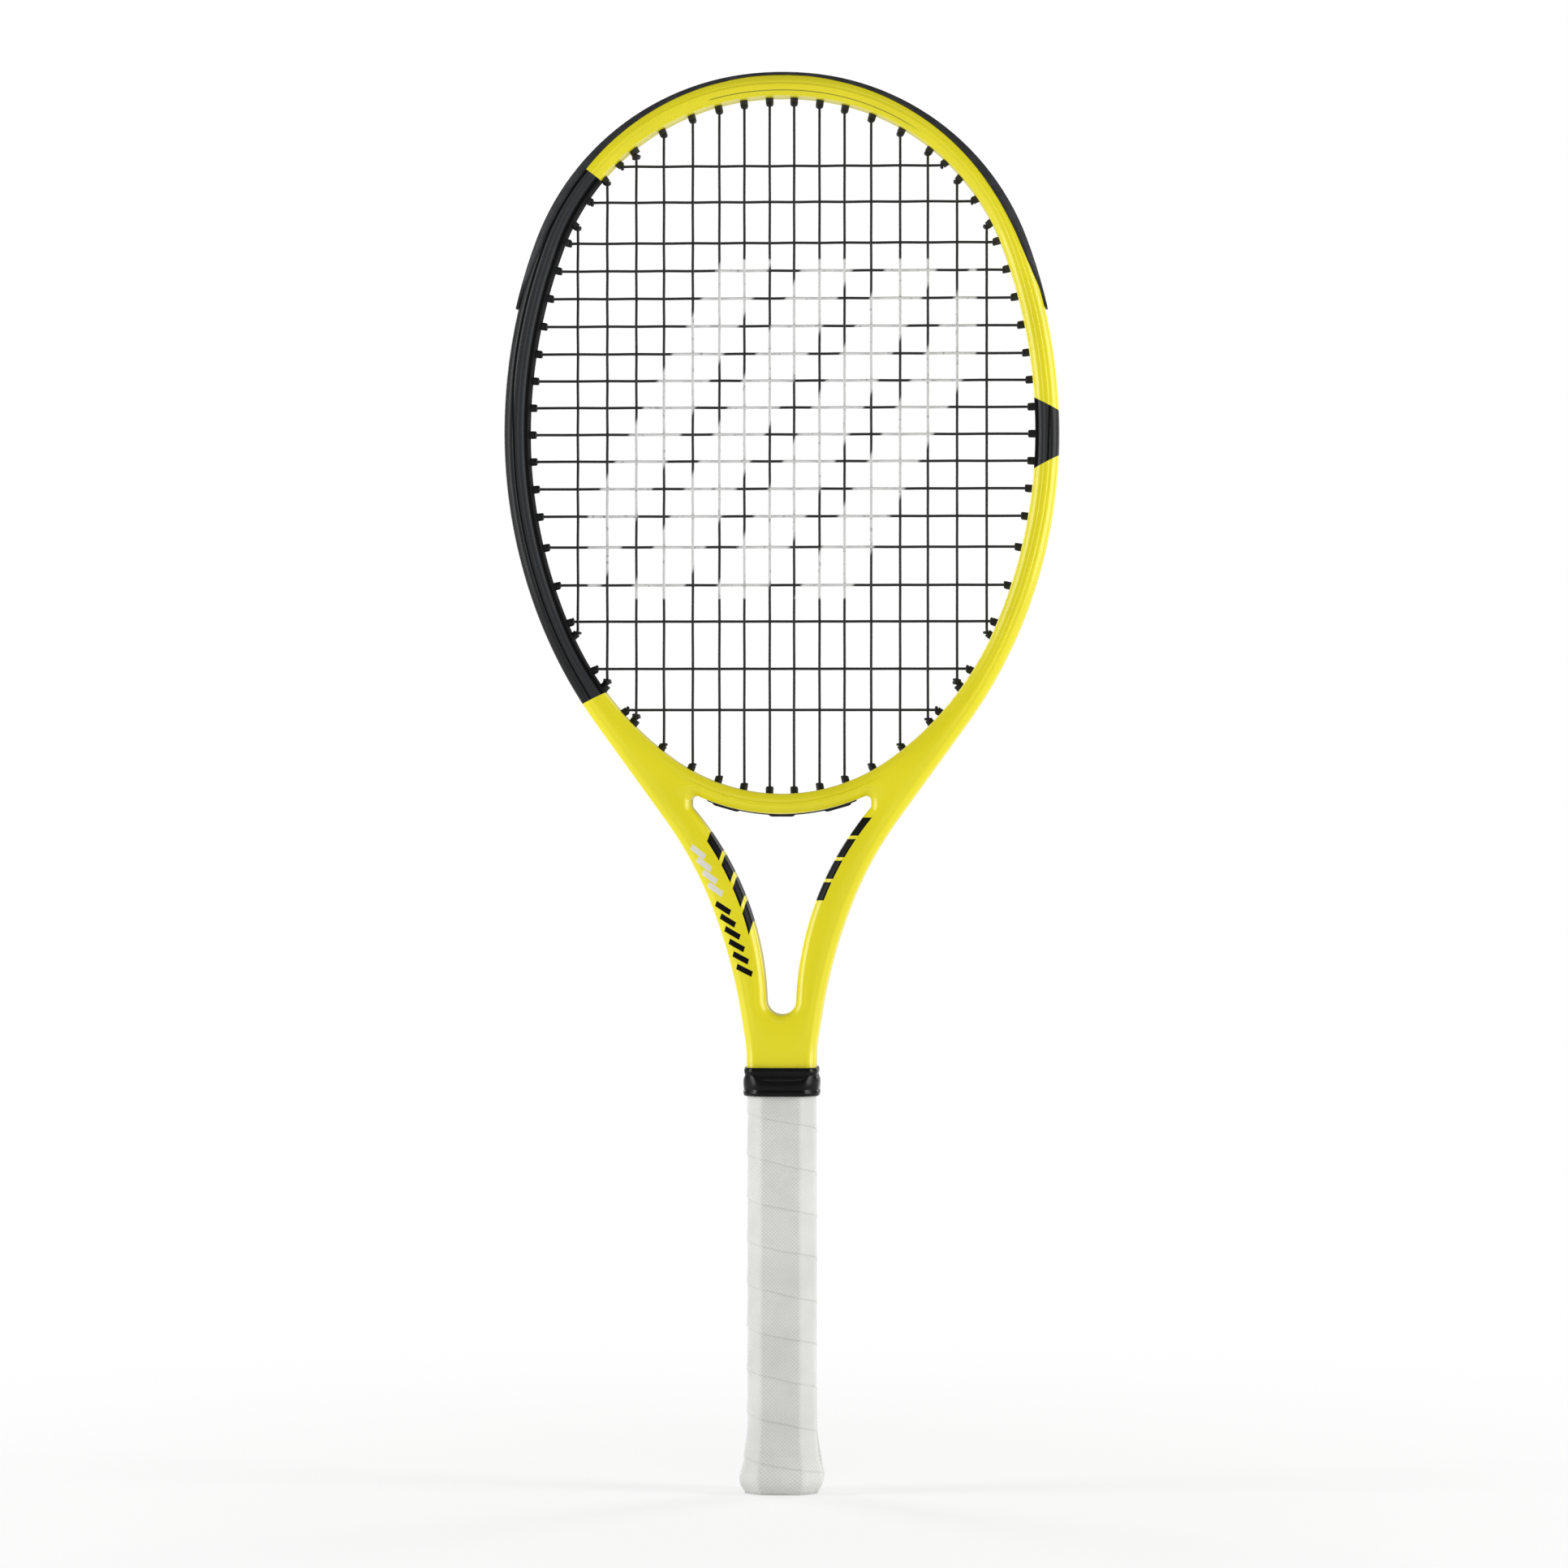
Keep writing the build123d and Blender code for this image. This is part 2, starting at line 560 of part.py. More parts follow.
def throat_grommet_strip():
    centre = Pos(0, BRIDGE_LOW_Z + BRIDGE_RADIUS)
    rim = centre * Circle(BRIDGE_RADIUS + THROAT_STRIP_PROUD)
    rim -= centre * Circle(BRIDGE_RADIUS - BRIDGE_GROOVE_DEPTH + STRIP_SEAT)
    channel = centre * Circle(BRIDGE_RADIUS + 2) - centre * Circle(BRIDGE_RADIUS - 0.2)
    reach = Pos(0, BRIDGE_LOW_Z) * Rectangle(2 * THROAT_STRIP_HALF_LENGTH, 30)
    strip = thick(rim & reach, STRIP_HALF_WIDTH) - thick(channel & reach, CHANNEL_HALF_WIDTH - 1)
    tubes, bores = barrels([("bottom", main) for main in range(3)], (-1, 1), 0)
    return strip + tubes - bores


def knot(name, side, own_string, tail_string):
    """The hitch that ties a string's end off round a main, just inside its grommet."""
    end = HOLES[name]["bend"]
    up = 1 if name[0] == "bottom" else -1
    height = end.Y + up * (KNOT_OFFSET + KNOT_LENGTH / 2)
    body = fillet(Cylinder(KNOT_RADIUS, KNOT_LENGTH).edges(), KNOT_ROUNDING)
    return Pos(side * end.X, 0, height) * body - own_string - tail_string


# ---- Handle --------------------------------------------------------------------------------------
def octagon(half_width, half_depth, bevel):
    x, y = half_width, half_depth
    corner = [(x - bevel, y), (x, y - bevel)]
    right = corner + [(a, -b) for a, b in reversed(corner)]
    return Polygon(*right, *[(-a, -b) for a, b in right], align=None)


def grow(section, amount):
    """An octagon moved outwards all round; its bevel keeps 45 degrees."""
    half_width, half_depth, bevel = section
    return (half_width + amount, half_depth + amount, bevel + amount * (2 - math.sqrt(2)))


def stack(levels):
    """A solid through octagons at rising heights."""
    return loft([Pos(0, 0, z) * octagon(*section) for z, section in levels], ruled=True)


PALLET = grow(GRIP_OUTER, -TAPE)


def prism(section, low_z, high_z):
    return Pos(0, 0, low_z) * extrude(octagon(*section), high_z - low_z, dir=(0, 0, 1))


def cap_levels(amount, top_z):
    levels = [(z, grow(PALLET, swell + amount)) for z, swell in reversed(CAP_SECTIONS)]
    return levels + [(top_z, grow(PALLET, amount))] if top_z > CAP_SECTIONS[0][0] else levels


def staples():
    """Two wire staples driven through the cap's skirt, one each face."""
    wires = []
    thickness = 2 * STAPLE_HALF_WIRE
    for face in (-1, 1):
        y = face * (PALLET[1] + STAPLE_SWELL)
        leg_y = y - face * STAPLE_LEG / 2
        crown = Box(2 * STAPLE_HALF_SPAN + thickness, thickness, thickness)
        wire = Pos(0, y - face * STAPLE_HALF_WIRE, STAPLE_Z) * crown
        for x in (-STAPLE_HALF_SPAN, STAPLE_HALF_SPAN):
            wire += Pos(x, leg_y, STAPLE_Z) * Box(thickness, STAPLE_LEG, thickness)
        wires.append(wire)
    return wires


def tack():
    """The tack that starts the grip tape at the butt, its head under the tape's outer turn."""
    y = -(PALLET[1] + TACK_SWELL)
    toward_pallet = Plane(origin=(0, y, TACK_Z), z_dir=(0, 1, 0))
    head = toward_pallet * extrude(Circle(TACK_HEAD_RADIUS), TACK_HEAD_THICKNESS)
    return head + toward_pallet * extrude(Circle(TACK_SHANK_RADIUS), TACK_LENGTH)


def handle_parts():
    fasteners = staples()
    pin = tack()
    core = prism(PALLET, CAP_FLOOR, STEM_FOOT_Z)
    pallet = core - tail() - fasteners - pin
    cap = stack(cap_levels(0, 0)) - core - fasteners - pin
    cap -= Cylinder(BADGE_RADIUS, 2 * BADGE_THICKNESS)
    badge = Pos(0, 0, BADGE_THICKNESS / 2) * Cylinder(BADGE_RADIUS, BADGE_THICKNESS)
    foot = Pos(0, 0, TAPE_FOOT_Z - FAR / 2) * Box(FAR, FAR, FAR)
    sleeve = stack(cap_levels(TAPE, TAPE_TOP_Z)) - stack(cap_levels(0, TAPE_TOP_Z + 1)) - foot
    sleeve = sleeve - core - fasteners - pin
    finish = prism(grow(GRIP_OUTER, FINISHING_TAPE), FINISHING_TAPE_FOOT_Z, TAPE_TOP_Z)
    finish -= prism(grow(GRIP_OUTER, FINISHING_TAPE_SEAT), FINISHING_TAPE_FOOT_Z, TAPE_TOP_Z)
    return {
        "handle_pallet": pallet,
        "butt_cap": cap,
        "butt_badge": badge,
        "butt_cap_staples": fasteners,
        "grip_tack": pin,
        "grip_tape": sleeve,
        "grip_finishing_tape": finish,
    }


def grip_collar():
    body = stack([(z, section) for z, *section in COLLAR_SECTIONS])
    lower = grow(GRIP_OUTER, FINISHING_TAPE + COLLAR_GAP)
    stem = grow((STEM_HALF_WIDTH, HALF_DEPTH, FRAME_BEVEL), COLLAR_GAP)
    body -= prism(lower, COLLAR_FOOT_Z - 1, COLLAR_LEDGE_Z)
    return body - prism(stem, COLLAR_FOOT_Z, COLLAR_TOP_Z + 1)


def all_parts():
    """Every piece of the racket by name; a piece of several solids is a list."""
    tube, bridge = frame()
    parts = {"frame_tube": tube, "throat_bridge": bridge, "bumper_guard": bumper_guard()}
    rows = [row for row in range(ROWS) if HOLES["cross", row]["outside"].Y < BUMPER_END_Z]
    side_rows = [("cross", row) for row in rows if HOLES["cross", row]["outside"].Y > SHOULDER_TOP_Z]
    shoulder = [("cross", row) for row in rows if HOLES["cross", row]["outside"].Y < SHOULDER_TOP_Z]
    shoulder += [("bottom", main) for main in range(3, MAINS)]
    for name, side in (("left", -1), ("right", 1)):
        span = (SHOULDER_TOP_Z + STRIP_END_GAP, BUMPER_END_Z - STRIP_END_GAP)
        parts[f"side_grommets_{name}"] = groove_strip(side_rows, (side,), *span)
        span = (GROOVE_END_Z + STRIP_END_GAP, SHOULDER_TOP_Z - STRIP_END_GAP)
        parts[f"shoulder_grommets_{name}"] = groove_strip(shoulder, (side,), *span)
    parts["throat_grommets"] = throat_grommet_strip()
    mains = string(main_half(-1) + main_half(1)[::-1])
    crosses = string(cross_route())
    parts |= {"main_string": mains, "cross_string": crosses}
    ends = {"main": (mains, mains), "cross": (mains, crosses)}
    for owner in ends:
        tied = [place_of for place_of, tail_of in TIES.items() if tail_of == owner]
        made = [knot((name, main), side, *ends[owner]) for name, main, side in tied]
        parts[f"{owner}_string_knots"] = made
    return parts | handle_parts() | {"grip_collar": grip_collar()}


os.makedirs("parts", exist_ok=True)
for part_name, solids in all_parts().items():
    pieces = solids if isinstance(solids, list) else [solids]
    pieces = [solid for piece in pieces for solid in piece.solids()]
    whole = pieces[0] if len(pieces) == 1 else Compound(children=pieces)
    export_step(whole, f"parts/{part_name}.step")
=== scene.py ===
import math

import bmesh
import bpy
import numpy as np
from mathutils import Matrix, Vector


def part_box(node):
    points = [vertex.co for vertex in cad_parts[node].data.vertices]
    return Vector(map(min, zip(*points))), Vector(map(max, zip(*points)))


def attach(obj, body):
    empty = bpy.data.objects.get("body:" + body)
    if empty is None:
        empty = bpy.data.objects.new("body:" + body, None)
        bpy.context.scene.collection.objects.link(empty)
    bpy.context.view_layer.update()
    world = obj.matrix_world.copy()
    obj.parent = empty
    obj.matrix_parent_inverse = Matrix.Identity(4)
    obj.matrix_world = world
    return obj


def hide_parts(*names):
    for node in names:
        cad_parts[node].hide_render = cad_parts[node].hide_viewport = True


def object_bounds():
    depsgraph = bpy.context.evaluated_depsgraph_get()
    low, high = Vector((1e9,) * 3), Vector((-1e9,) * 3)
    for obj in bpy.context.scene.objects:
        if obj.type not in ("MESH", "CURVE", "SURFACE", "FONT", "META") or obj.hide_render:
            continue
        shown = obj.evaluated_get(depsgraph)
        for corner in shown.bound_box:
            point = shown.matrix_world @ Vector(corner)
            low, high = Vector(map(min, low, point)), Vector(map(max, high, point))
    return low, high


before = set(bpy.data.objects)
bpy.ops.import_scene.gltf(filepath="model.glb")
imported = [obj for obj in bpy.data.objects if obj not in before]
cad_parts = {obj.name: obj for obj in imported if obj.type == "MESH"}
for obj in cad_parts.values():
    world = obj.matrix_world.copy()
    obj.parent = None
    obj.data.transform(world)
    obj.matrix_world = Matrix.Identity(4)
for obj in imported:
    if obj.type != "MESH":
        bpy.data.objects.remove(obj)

cad_low, cad_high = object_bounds()
MM = 0.001

# ---- Driving dimensions, in millimetres as the CAD model has them --------------------------------
WIDEST_Z = 512.0
OUTER_HALF_WIDTH = 134.1
OPENING_HALF_WIDTH = 122.5
OPENING_TOP_Z = 674.3
OPENING_BOTTOM_Z = 337.6
FRAME_TOP_Z = 684.6
GROOVE_DEPTH = 3.5
GROOVE_HALF_WIDTH = 3.6
GROOVE_END_Z = 314.0
OUTER_TOP_ARCS = (148.0, 5.2, 69.6)
OPENING_TOP_ARCS = (138.0, 5.2, 69.6)
OPENING_BOTTOM_ARCS = (90.4, 35.9, 66.1)
SIDE_ARCS = ((247.5, -20.4), (232.4, -15.5))
SHAFT_ARCS = ((186.9, 14.6), (255.7, 12.3))
SHAFT_FLARE_RUN = 12.7
SHAFT_FLARE_ARC = (60.0, 9.0)
STEM_HALF_WIDTH = 16.6
STEM_HALF_DEPTH = 12.5
STEM_BEVEL = 3.2
STEM_FOOT_Z = 196.0
THROAT_BOTTOM_Z = 230.8
THROAT_FOOT_ARC = (7.2, 88.1)
THROAT_SIDE_RADIUS = 151.4
THROAT_HALF_WIDTH = 43.5
THROAT_CORNER_RADIUS = 2.6
BRIDGE_RADIUS = 98.0
BRIDGE_LOW_Z = 327.8
BRIDGE_GROOVE_DEPTH = 1.2
BRIDGE_GROOVE_HALF_LENGTH = 36.2
GUARD_WALL = 1.2
GUARD_HALF_DEPTH = 9.0
# Height, and how far the guard's edge laps over the frame's face there
GUARD_LIP = ((576.0, 0.0), (582.0, 0.4), (588.0, 1.2), (595.5, 2.0), (603.0, 2.5), (617.0, 2.95),
             (631.0, 2.9), (643.6, 2.5), (656.8, 2.0), (668.4, 1.5), (676.5, 1.0), (681.9, 0.7), (684.6, 0.2))

STRING_DIAMETER = 1.3
KNOT_LENGTH = 3.2
# The mains' distances from the middle, and the crosses' heights from the top one down
MAIN_OFFSETS = (5.9, 18.2, 30.3, 43.2, 57.2, 70.6, 84.7, 99.0)
TOP_CROSS_Z = 641.2
CROSS_GAPS = (17.4, 19.8) + (13.4,) * 4 + (13.0,) * 4 + (13.3,) * 2 + (14.9, 18.4, 17.6, 22.9, 19.9)
BEND_INSIDE = 2.9  # a string bends towards its hole this far inside the head
# Mains, by number and side, that have a knot in front of their hole
TIED = {("top", 5, -1), ("bottom", 5, -1), ("bottom", 6, -1), ("bottom", 6, 1)}
KNOT_PULLED = 1.4  # how far a knot has been drawn up to its grommet

GRIP_OUTER = (16.6, 14.75, 7.35)  # half width, half depth and bevel of the wrapped handle
GRIP_PERIMETER = 106.0
TAPE = 1.55  # its thickness with the lap
# Height, and how far the butt cap swells the grip there
CAP_SWELL = ((0.0, 2.3), (7.0, 4.1), (17.0, 1.6), (28.0, 0.5), (33.0, 0.0))
TAPE_FOOT_Z = 0.8
TAPE_TOP_Z = 195.8
SEAM_Z = 179.8  # where a seam of the wrap crosses the middle of the front
SEAM_PITCH = 20.77
HATCH = 1.83  # the tape's embossed diamonds
COLLAR_GAP = 0.25  # from the collar to the stem and the grip
COLLAR_FOOT_Z = 191.75
COLLAR_LEDGE_Z = 197.5
COLLAR_TOP_Z = 205.5


# ---- Shader building -----------------------------------------------------------------------------
def tone(text):
    """The linear colour of a hex code."""
    parts = [int(text[i : i + 2], 16) / 255 for i in (1, 3, 5)]
    return [p / 12.92 if p <= 0.04045 else ((p + 0.055) / 1.055) ** 2.4 for p in parts] + [1.0]


class Shader:
    """A node material; each call adds a node and gives its output socket."""

    def __init__(self, name, **surface):
        self.material = bpy.data.materials.new(name)
        self.material.use_nodes = True
        self.tree = self.material.node_tree
        self.tree.nodes.clear()
        out = self.tree.nodes.new("ShaderNodeOutputMaterial")
        self.surface = self.tree.nodes.new("ShaderNodeBsdfPrincipled")
        self.tree.links.new(self.surface.outputs[0], out.inputs[0])
        self.place = self.tree.nodes.new("ShaderNodeTexCoord").outputs["Object"]
        for socket, value in surface.items():
            self.set(socket.replace("_", " "), value)

    def set(self, socket, value):
        self.put(self.surface.inputs[socket], value)

    def put(self, socket, value):
        if isinstance(value, bpy.types.NodeSocket):
            self.tree.links.new(value, socket)
        else:
            socket.default_value = value

    def math(self, operation, *values):
        node = self.tree.nodes.new("ShaderNodeMath")
        node.operation = operation
        for socket, value in zip(node.inputs, values):
            self.put(socket, value)
        return node.outputs[0]

    def along(self, direction):
        """How far a place is along a direction, in millimetres."""
        node = self.tree.nodes.new("ShaderNodeVectorMath")
        node.operation = "DOT_PRODUCT"
        self.put(node.inputs[0], self.place)
        node.inputs[1].default_value = [part / MM for part in direction]
        return node.outputs["Value"]

    def step(self, value, low, high, to_low=0.0, to_high=1.0):
        """A smooth change from one number to another while the value goes from low to high."""
        node = self.tree.nodes.new("ShaderNodeMapRange")
        node.interpolation_type = "SMOOTHSTEP"
        for name, number in zip(("Value", "From Min", "From Max", "To Min", "To Max"),
                                (value, low, high, to_low, to_high)):
            self.put(node.inputs[name], number)
        return node.outputs[0]

    def window(self, value, low, high, soft=0.12):
        """One between two values and nothing outside."""
        middle, half = (low + high) / 2, (high - low) / 2
        off = self.math("ABSOLUTE", self.math("SUBTRACT", value, middle))
        return self.step(off, half - soft, half + soft, 1.0, 0.0)

    def both(self, *masks):
        """The masks multiplied."""
        result = masks[0]
        for mask in masks[1:]:
            result = self.math("MULTIPLY", result, mask)
        return result

    def either(self, *masks):
        """The strongest of the masks."""
        result = masks[0]
        for mask in masks[1:]:
            result = self.math("MAXIMUM", result, mask)
        return result

    def bar(self, x, z, lean, half_length, half_width, slant):
        """A parallelogram on the racket's face: its middle, lean and slant in degrees, and half sizes."""
        a = math.radians(lean)
        length_way = (math.cos(a), 0, math.sin(a))
        b = math.radians(lean + 90 - slant)
        width_way = (math.cos(b), 0, math.sin(b))
        s = length_way[0] * x + length_way[2] * z
        t = width_way[0] * x + width_way[2] * z
        return self.both(self.window(self.along(length_way), s - half_length, s + half_length),
                         self.window(self.along(width_way), t - half_width, t + half_width))

    def mix(self, factor, a, b):
        node = self.tree.nodes.new("ShaderNodeMix")
        node.data_type = "RGBA"
        self.put(node.inputs[0], factor)
        self.put(node.inputs[6], a)
        self.put(node.inputs[7], b)
        return node.outputs[2]

    def noise(self, size, detail):
        """Noise with features of about this size in millimetres."""
        node = self.tree.nodes.new("ShaderNodeTexNoise")
        self.put(node.inputs["Vector"], self.place)
        node.inputs["Scale"].default_value = 1 / (size * MM)
        node.inputs["Detail"].default_value = detail
        return node.outputs[0]

    def attribute(self, name):
        node = self.tree.nodes.new("ShaderNodeAttribute")
        node.attribute_name = name
        return node.outputs["Fac"]

    def bump(self, height, distance, strength=1.0, normal=None):
        """Relief; the distance is in millimetres."""
        node = self.tree.nodes.new("ShaderNodeBump")
        node.inputs["Strength"].default_value = strength
        node.inputs["Distance"].default_value = distance * MM
        self.put(node.inputs["Height"], height)
        if normal:
            self.put(node.inputs["Normal"], normal)
        return node.outputs[0]


# ---- Materials -----------------------------------------------------------------------------------
PAINT_EDGE = 0.15  # half the width over which one colour turns into another
# The charcoal's cut edges: the way each faces, not always of unit length, and how far along it the cut lies
LEFT_TOP_CUT = ((0.6, 0, 0.8), 454.85)
LEFT_BOTTOM_CUT = ((0.447, 0, -0.894), -383.5)
RIGHT_TOP_CUT = ((0.52, 0, 1), 591.85)
RIGHT_BOTTOM_CUT = ((0.52, 0, -1), -430.85)
PAINTED_CREASE = ((505, 5.0), (548, 3.5))  # height, and the distance from the outside there of a crease along which shade is painted as in a fold

# The black blocks at the throat's edge: from and to, across the slant on the left and upwards on the right
LEFT_BLOCKS = ((-124.34, -116.17), (-114.43, -107.95), (-106.01, -99.72), (-98.07, -92.07))
TOP_BLOCK_Z = 317.4
BLOCK_PITCH = 10.4
BLOCK_LENGTH = 8.8

# The dashes on the left shaft: the lowest one's height, and how many there are
BLACK_DASHES = (252.5, 6)
PALE_DASHES = (291.5, 4)
DASH_PITCH = 6.0
DASH_HALF_LENGTH = 4.1
DASH_HALF_WIDTH = 1.35
DASH_SLANT = 12


def shaft_middle(z):
    """The left shaft's middle line across the face, at a height."""
    up = z - 249.5
    return -(STEM_HALF_WIDTH + 0.28 * up + 0.0018 * up * up)


def behind(s, cut):
    """The part of the frame that a cut leaves on its inner side."""
    way, reach = cut
    return s.step(s.along(way), reach - PAINT_EDGE, reach + PAINT_EDGE, 1, 0)


def charcoal_areas(s, across):
    """The bare laminate: most of the head's left side, and a wedge on its right side."""
    left = s.both(s.step(across, -60, -59, 1, 0), behind(s, LEFT_TOP_CUT), behind(s, LEFT_BOTTOM_CUT))
    right = s.both(s.step(across, 100, 101), behind(s, RIGHT_TOP_CUT), behind(s, RIGHT_BOTTOM_CUT))
    return s.either(left, right)


def throat_blocks(s, across, up):
    """Black blocks along both edges of the throat, cut square on the right and slanted on the left."""
    slanted = s.along((0.958, 0, -0.287))
    left_row = s.either(*[s.window(slanted, *block) for block in LEFT_BLOCKS])
    left_row = s.both(left_row, s.step(across, -1, 0, 1, 0), s.step(up, 321, 322, 1, 0))
    lows = [TOP_BLOCK_Z - BLOCK_PITCH * i for i in range(4)]
    right_row = s.either(*[s.window(up, low, low + BLOCK_LENGTH) for low in lows])
    right_row = s.both(right_row, s.step(across, 0, 1))
    on_edge = s.step(s.attribute("from_throat"), 3.55, 3.75, 1, 0)
    return s.both(on_edge, s.either(left_row, right_row))


def dashes(s, lowest, count):
    """A row of slanted dashes up the left shaft, turning with it."""
    heights = [lowest + DASH_PITCH * i for i in range(count)]
    leans = [-14 - 0.2 * (z - 250) for z in heights]
    sizes = (DASH_HALF_LENGTH, DASH_HALF_WIDTH, DASH_SLANT)
    return s.either(*[s.bar(shaft_middle(z), z, lean, *sizes) for z, lean in zip(heights, leans)])


def frame_paint():
    """Yellow lacquer with fine flecks, over a woven charcoal laminate that shows at the head's sides; on the
    charcoal, highlights, a lighter band and shade are painted across its width.
    """
    s = Shader("frame_paint", Coat_Roughness=0.12)
    across, up = s.along((1, 0, 0)), s.along((0, 0, 1))
    from_outer, from_opening = s.attribute("from_outer"), s.attribute("from_opening")
    yellow = s.mix(s.step(s.noise(60, 2), 0.3, 0.7), tone("#DFD40D"), tone("#E7DC16"))
    fleck = s.step(s.noise(0.5, 2), 0.35, 0.75)
    yellow = s.mix(s.math("MULTIPLY", fleck, 0.07), yellow, tone("#D2C60A"))
    fine_line = s.both(s.window(from_opening, 2.3, 2.75, 0.08),
                       s.step(up, 655, 662), s.step(across, -36, -33))
    yellow = s.mix(s.math("MULTIPLY", fine_line, 0.75), yellow, tone("#55540F"))

    charcoal = charcoal_areas(s, across)
    weave = s.math("SINE", s.math("MULTIPLY", s.along((1, 0, 1)), 5.2))
    twill = s.both(s.step(weave, -0.4, 0.6), s.step(s.noise(0.35, 3), 0.25, 0.75))
    (low, low_inset), (high, high_inset) = PAINTED_CREASE
    from_painted_crease = s.math("SUBTRACT", from_outer, s.step(up, low, high, low_inset, high_inset))
    painted_ridge_highlight = s.either(s.window(from_painted_crease, -1.4, -0.9, 0.2), s.window(from_outer, 0.05, 0.3, 0.15))
    dark = s.mix(s.math("MULTIPLY", twill, 0.5), tone("#08090B"), tone("#17191B"))
    # Painted highlights: paler grey lines along the outer edge and just outside the crease, where the
    # charcoal's edges would catch light
    dark = s.mix(s.math("MULTIPLY", painted_ridge_highlight, 0.15), dark, tone("#4A4D50"))
    # Painted light: inward of the crease the charcoal is a lighter grey, as a lit facet would look
    dark = s.mix(s.math("MULTIPLY", s.step(from_painted_crease, 0.3, 0.9), 0.85), dark, tone("#2D2F32"))
    # Painted shade: a near-black line along the crease, where a fold's shadow would lie
    painted_crease_shade = s.window(from_painted_crease, -0.4, 0.4, 0.2)
    # Painted shade: the charcoal goes near black towards the opening's edge, in place of shade on the inner
    # rim
    inside = s.step(from_opening, 1.3, 2.8, 1, 0)
    # Painted shade along the crease and the inner edge; below, it also makes those places duller and rougher
    painted_shade = s.both(charcoal, s.either(painted_crease_shade, inside))
    dark = s.mix(painted_shade, dark, tone("#030304"))

    black_ink = s.either(throat_blocks(s, across, up), dashes(s, *BLACK_DASHES))
    colour = s.mix(charcoal, yellow, dark)
    colour = s.mix(black_ink, colour, tone("#060608"))
    s.set("Base Color", s.mix(dashes(s, *PALE_DASHES), colour, tone("#D9D7CC")))
    dull = s.either(black_ink, s.math("MULTIPLY", charcoal, 0.62), painted_shade)
    s.set("Coat Weight", s.step(dull, 0, 1, 0.18, 0.01))
    s.set("Specular IOR Level", s.step(dull, 0, 1, 0.32, 0.08))
    rough = s.math("ADD", s.step(charcoal, 0, 1, 0.30, 0.36), s.step(painted_shade, 0, 1, 0, 0.5))
    s.set("Roughness", s.math("ADD", rough, s.math("MULTIPLY", s.noise(8, 2), 0.06)))
    weave_relief = s.bump(s.both(charcoal, twill), 0.05, 0.5)
    s.set("Normal", s.bump(s.noise(6, 1), 0.03, 0.15, weave_relief))
    return s.material


def moulded(name, base, light, roughness, relief=0.03, shine=0.3):
    """Moulded plastic or rubber: a fine eggshell grain over slow changes of tone."""
    s = Shader(name, Specular_IOR_Level=shine)
    spots = s.step(s.noise(6, 3), 0.35, 0.7)
    s.set("Base Color", s.mix(spots, tone(base), tone(light)))
    s.set("Roughness", s.step(s.noise(2.0, 3), 0.3, 0.7, roughness - 0.05, roughness + 0.07))
    s.set("Normal", s.bump(s.noise(0.4, 2), relief, 0.5))
    return s.material


def string_material():
    """Black string under four worn, slanted bars of pale stencil ink."""
    s = Shader("string_material", Specular_IOR_Level=0.35)
    up, across = s.along((0, 0, 1)), s.along((1, 0, 0))
    base = s.mix(s.step(s.noise(1.5, 2), 0.3, 0.7), tone("#0D0E10"), tone("#1C1D20"))
    lean = math.radians(62)
    over_bars = s.along((math.sin(lean), 0, -math.cos(lean)))
    centre = -WIDEST_Z * math.cos(lean)
    half_bar = 11
    middles = [centre + offset for offset in (-54, -18, 18, 54)]
    bars = s.either(*[s.window(over_bars, middle - half_bar, middle + half_bar, 1.0) for middle in middles])
    stencil = s.both(bars, s.window(up, 432, 596, 0.8), s.window(across, -94, 94, 0.8))
    worn = s.step(s.noise(2.2, 3), 0.30, 0.42, 0.55, 1.0)
    s.set("Base Color", s.mix(s.both(stencil, worn), base, tone("#CFCFCF")))
    s.set("Roughness", s.step(stencil, 0, 1, 0.33, 0.6))
    s.set("Normal", s.bump(s.noise(1.2, 2), 0.015, 0.2))
    return s.material


def grip_material():
    """White tape, embossed with small diamonds and pores, with painted shade in the diamonds' lines and along
    its seams, and darker towards its foot.
    """
    s = Shader("grip_material", Sheen_Weight=0.15, Sheen_Roughness=0.5)
    uv = s.tree.nodes.new("ShaderNodeUVMap")
    uv.uv_map = "wrap"
    split = s.tree.nodes.new("ShaderNodeSeparateXYZ")
    s.tree.links.new(uv.outputs[0], split.inputs[0])
    around, height = split.outputs[0], split.outputs[1]
    lines = []
    for hand in ("ADD", "SUBTRACT"):
        turns = s.math("MULTIPLY", s.math(hand, around, height), math.pi)
        lines.append(s.math("ABSOLUTE", s.math("SINE", turns)))
    diamonds = s.step(s.math("MINIMUM", *lines), 0.05, 0.75)
    pores = s.step(s.noise(0.25, 2), 0.3, 0.8)
    tape = s.mix(s.step(s.noise(25, 3), 0.3, 0.7), tone("#D6D6D2"), tone("#E2E2DF"))
    # Painted shade: the diamonds' sunken lines get a darker grey, as shade in the embossing
    tape = s.mix(s.math("MULTIPLY", s.step(diamonds, 0, 1, 1, 0), 0.32), tape, tone("#A3A39E"))
    # Painted shade: a grey line along each seam, where the turn above steps down onto the one below
    tape = s.mix(s.math("MULTIPLY", s.attribute("seam"), 0.16), tape, tone("#8F8F8A"))
    # The tape turns darker towards its foot, over its lowest 9 millimetres
    foot = s.step(s.along((0, 0, 1)), 1.0, 9.0, 0.25, 0.0)
    s.set("Base Color", s.mix(foot, tape, tone("#9C9C98")))
    s.set("Roughness", s.step(pores, 0, 1, 0.5, 0.66))
    s.set("Normal", s.bump(diamonds, 0.1, 0.8, s.bump(pores, 0.02, 0.3)))
    return s.material


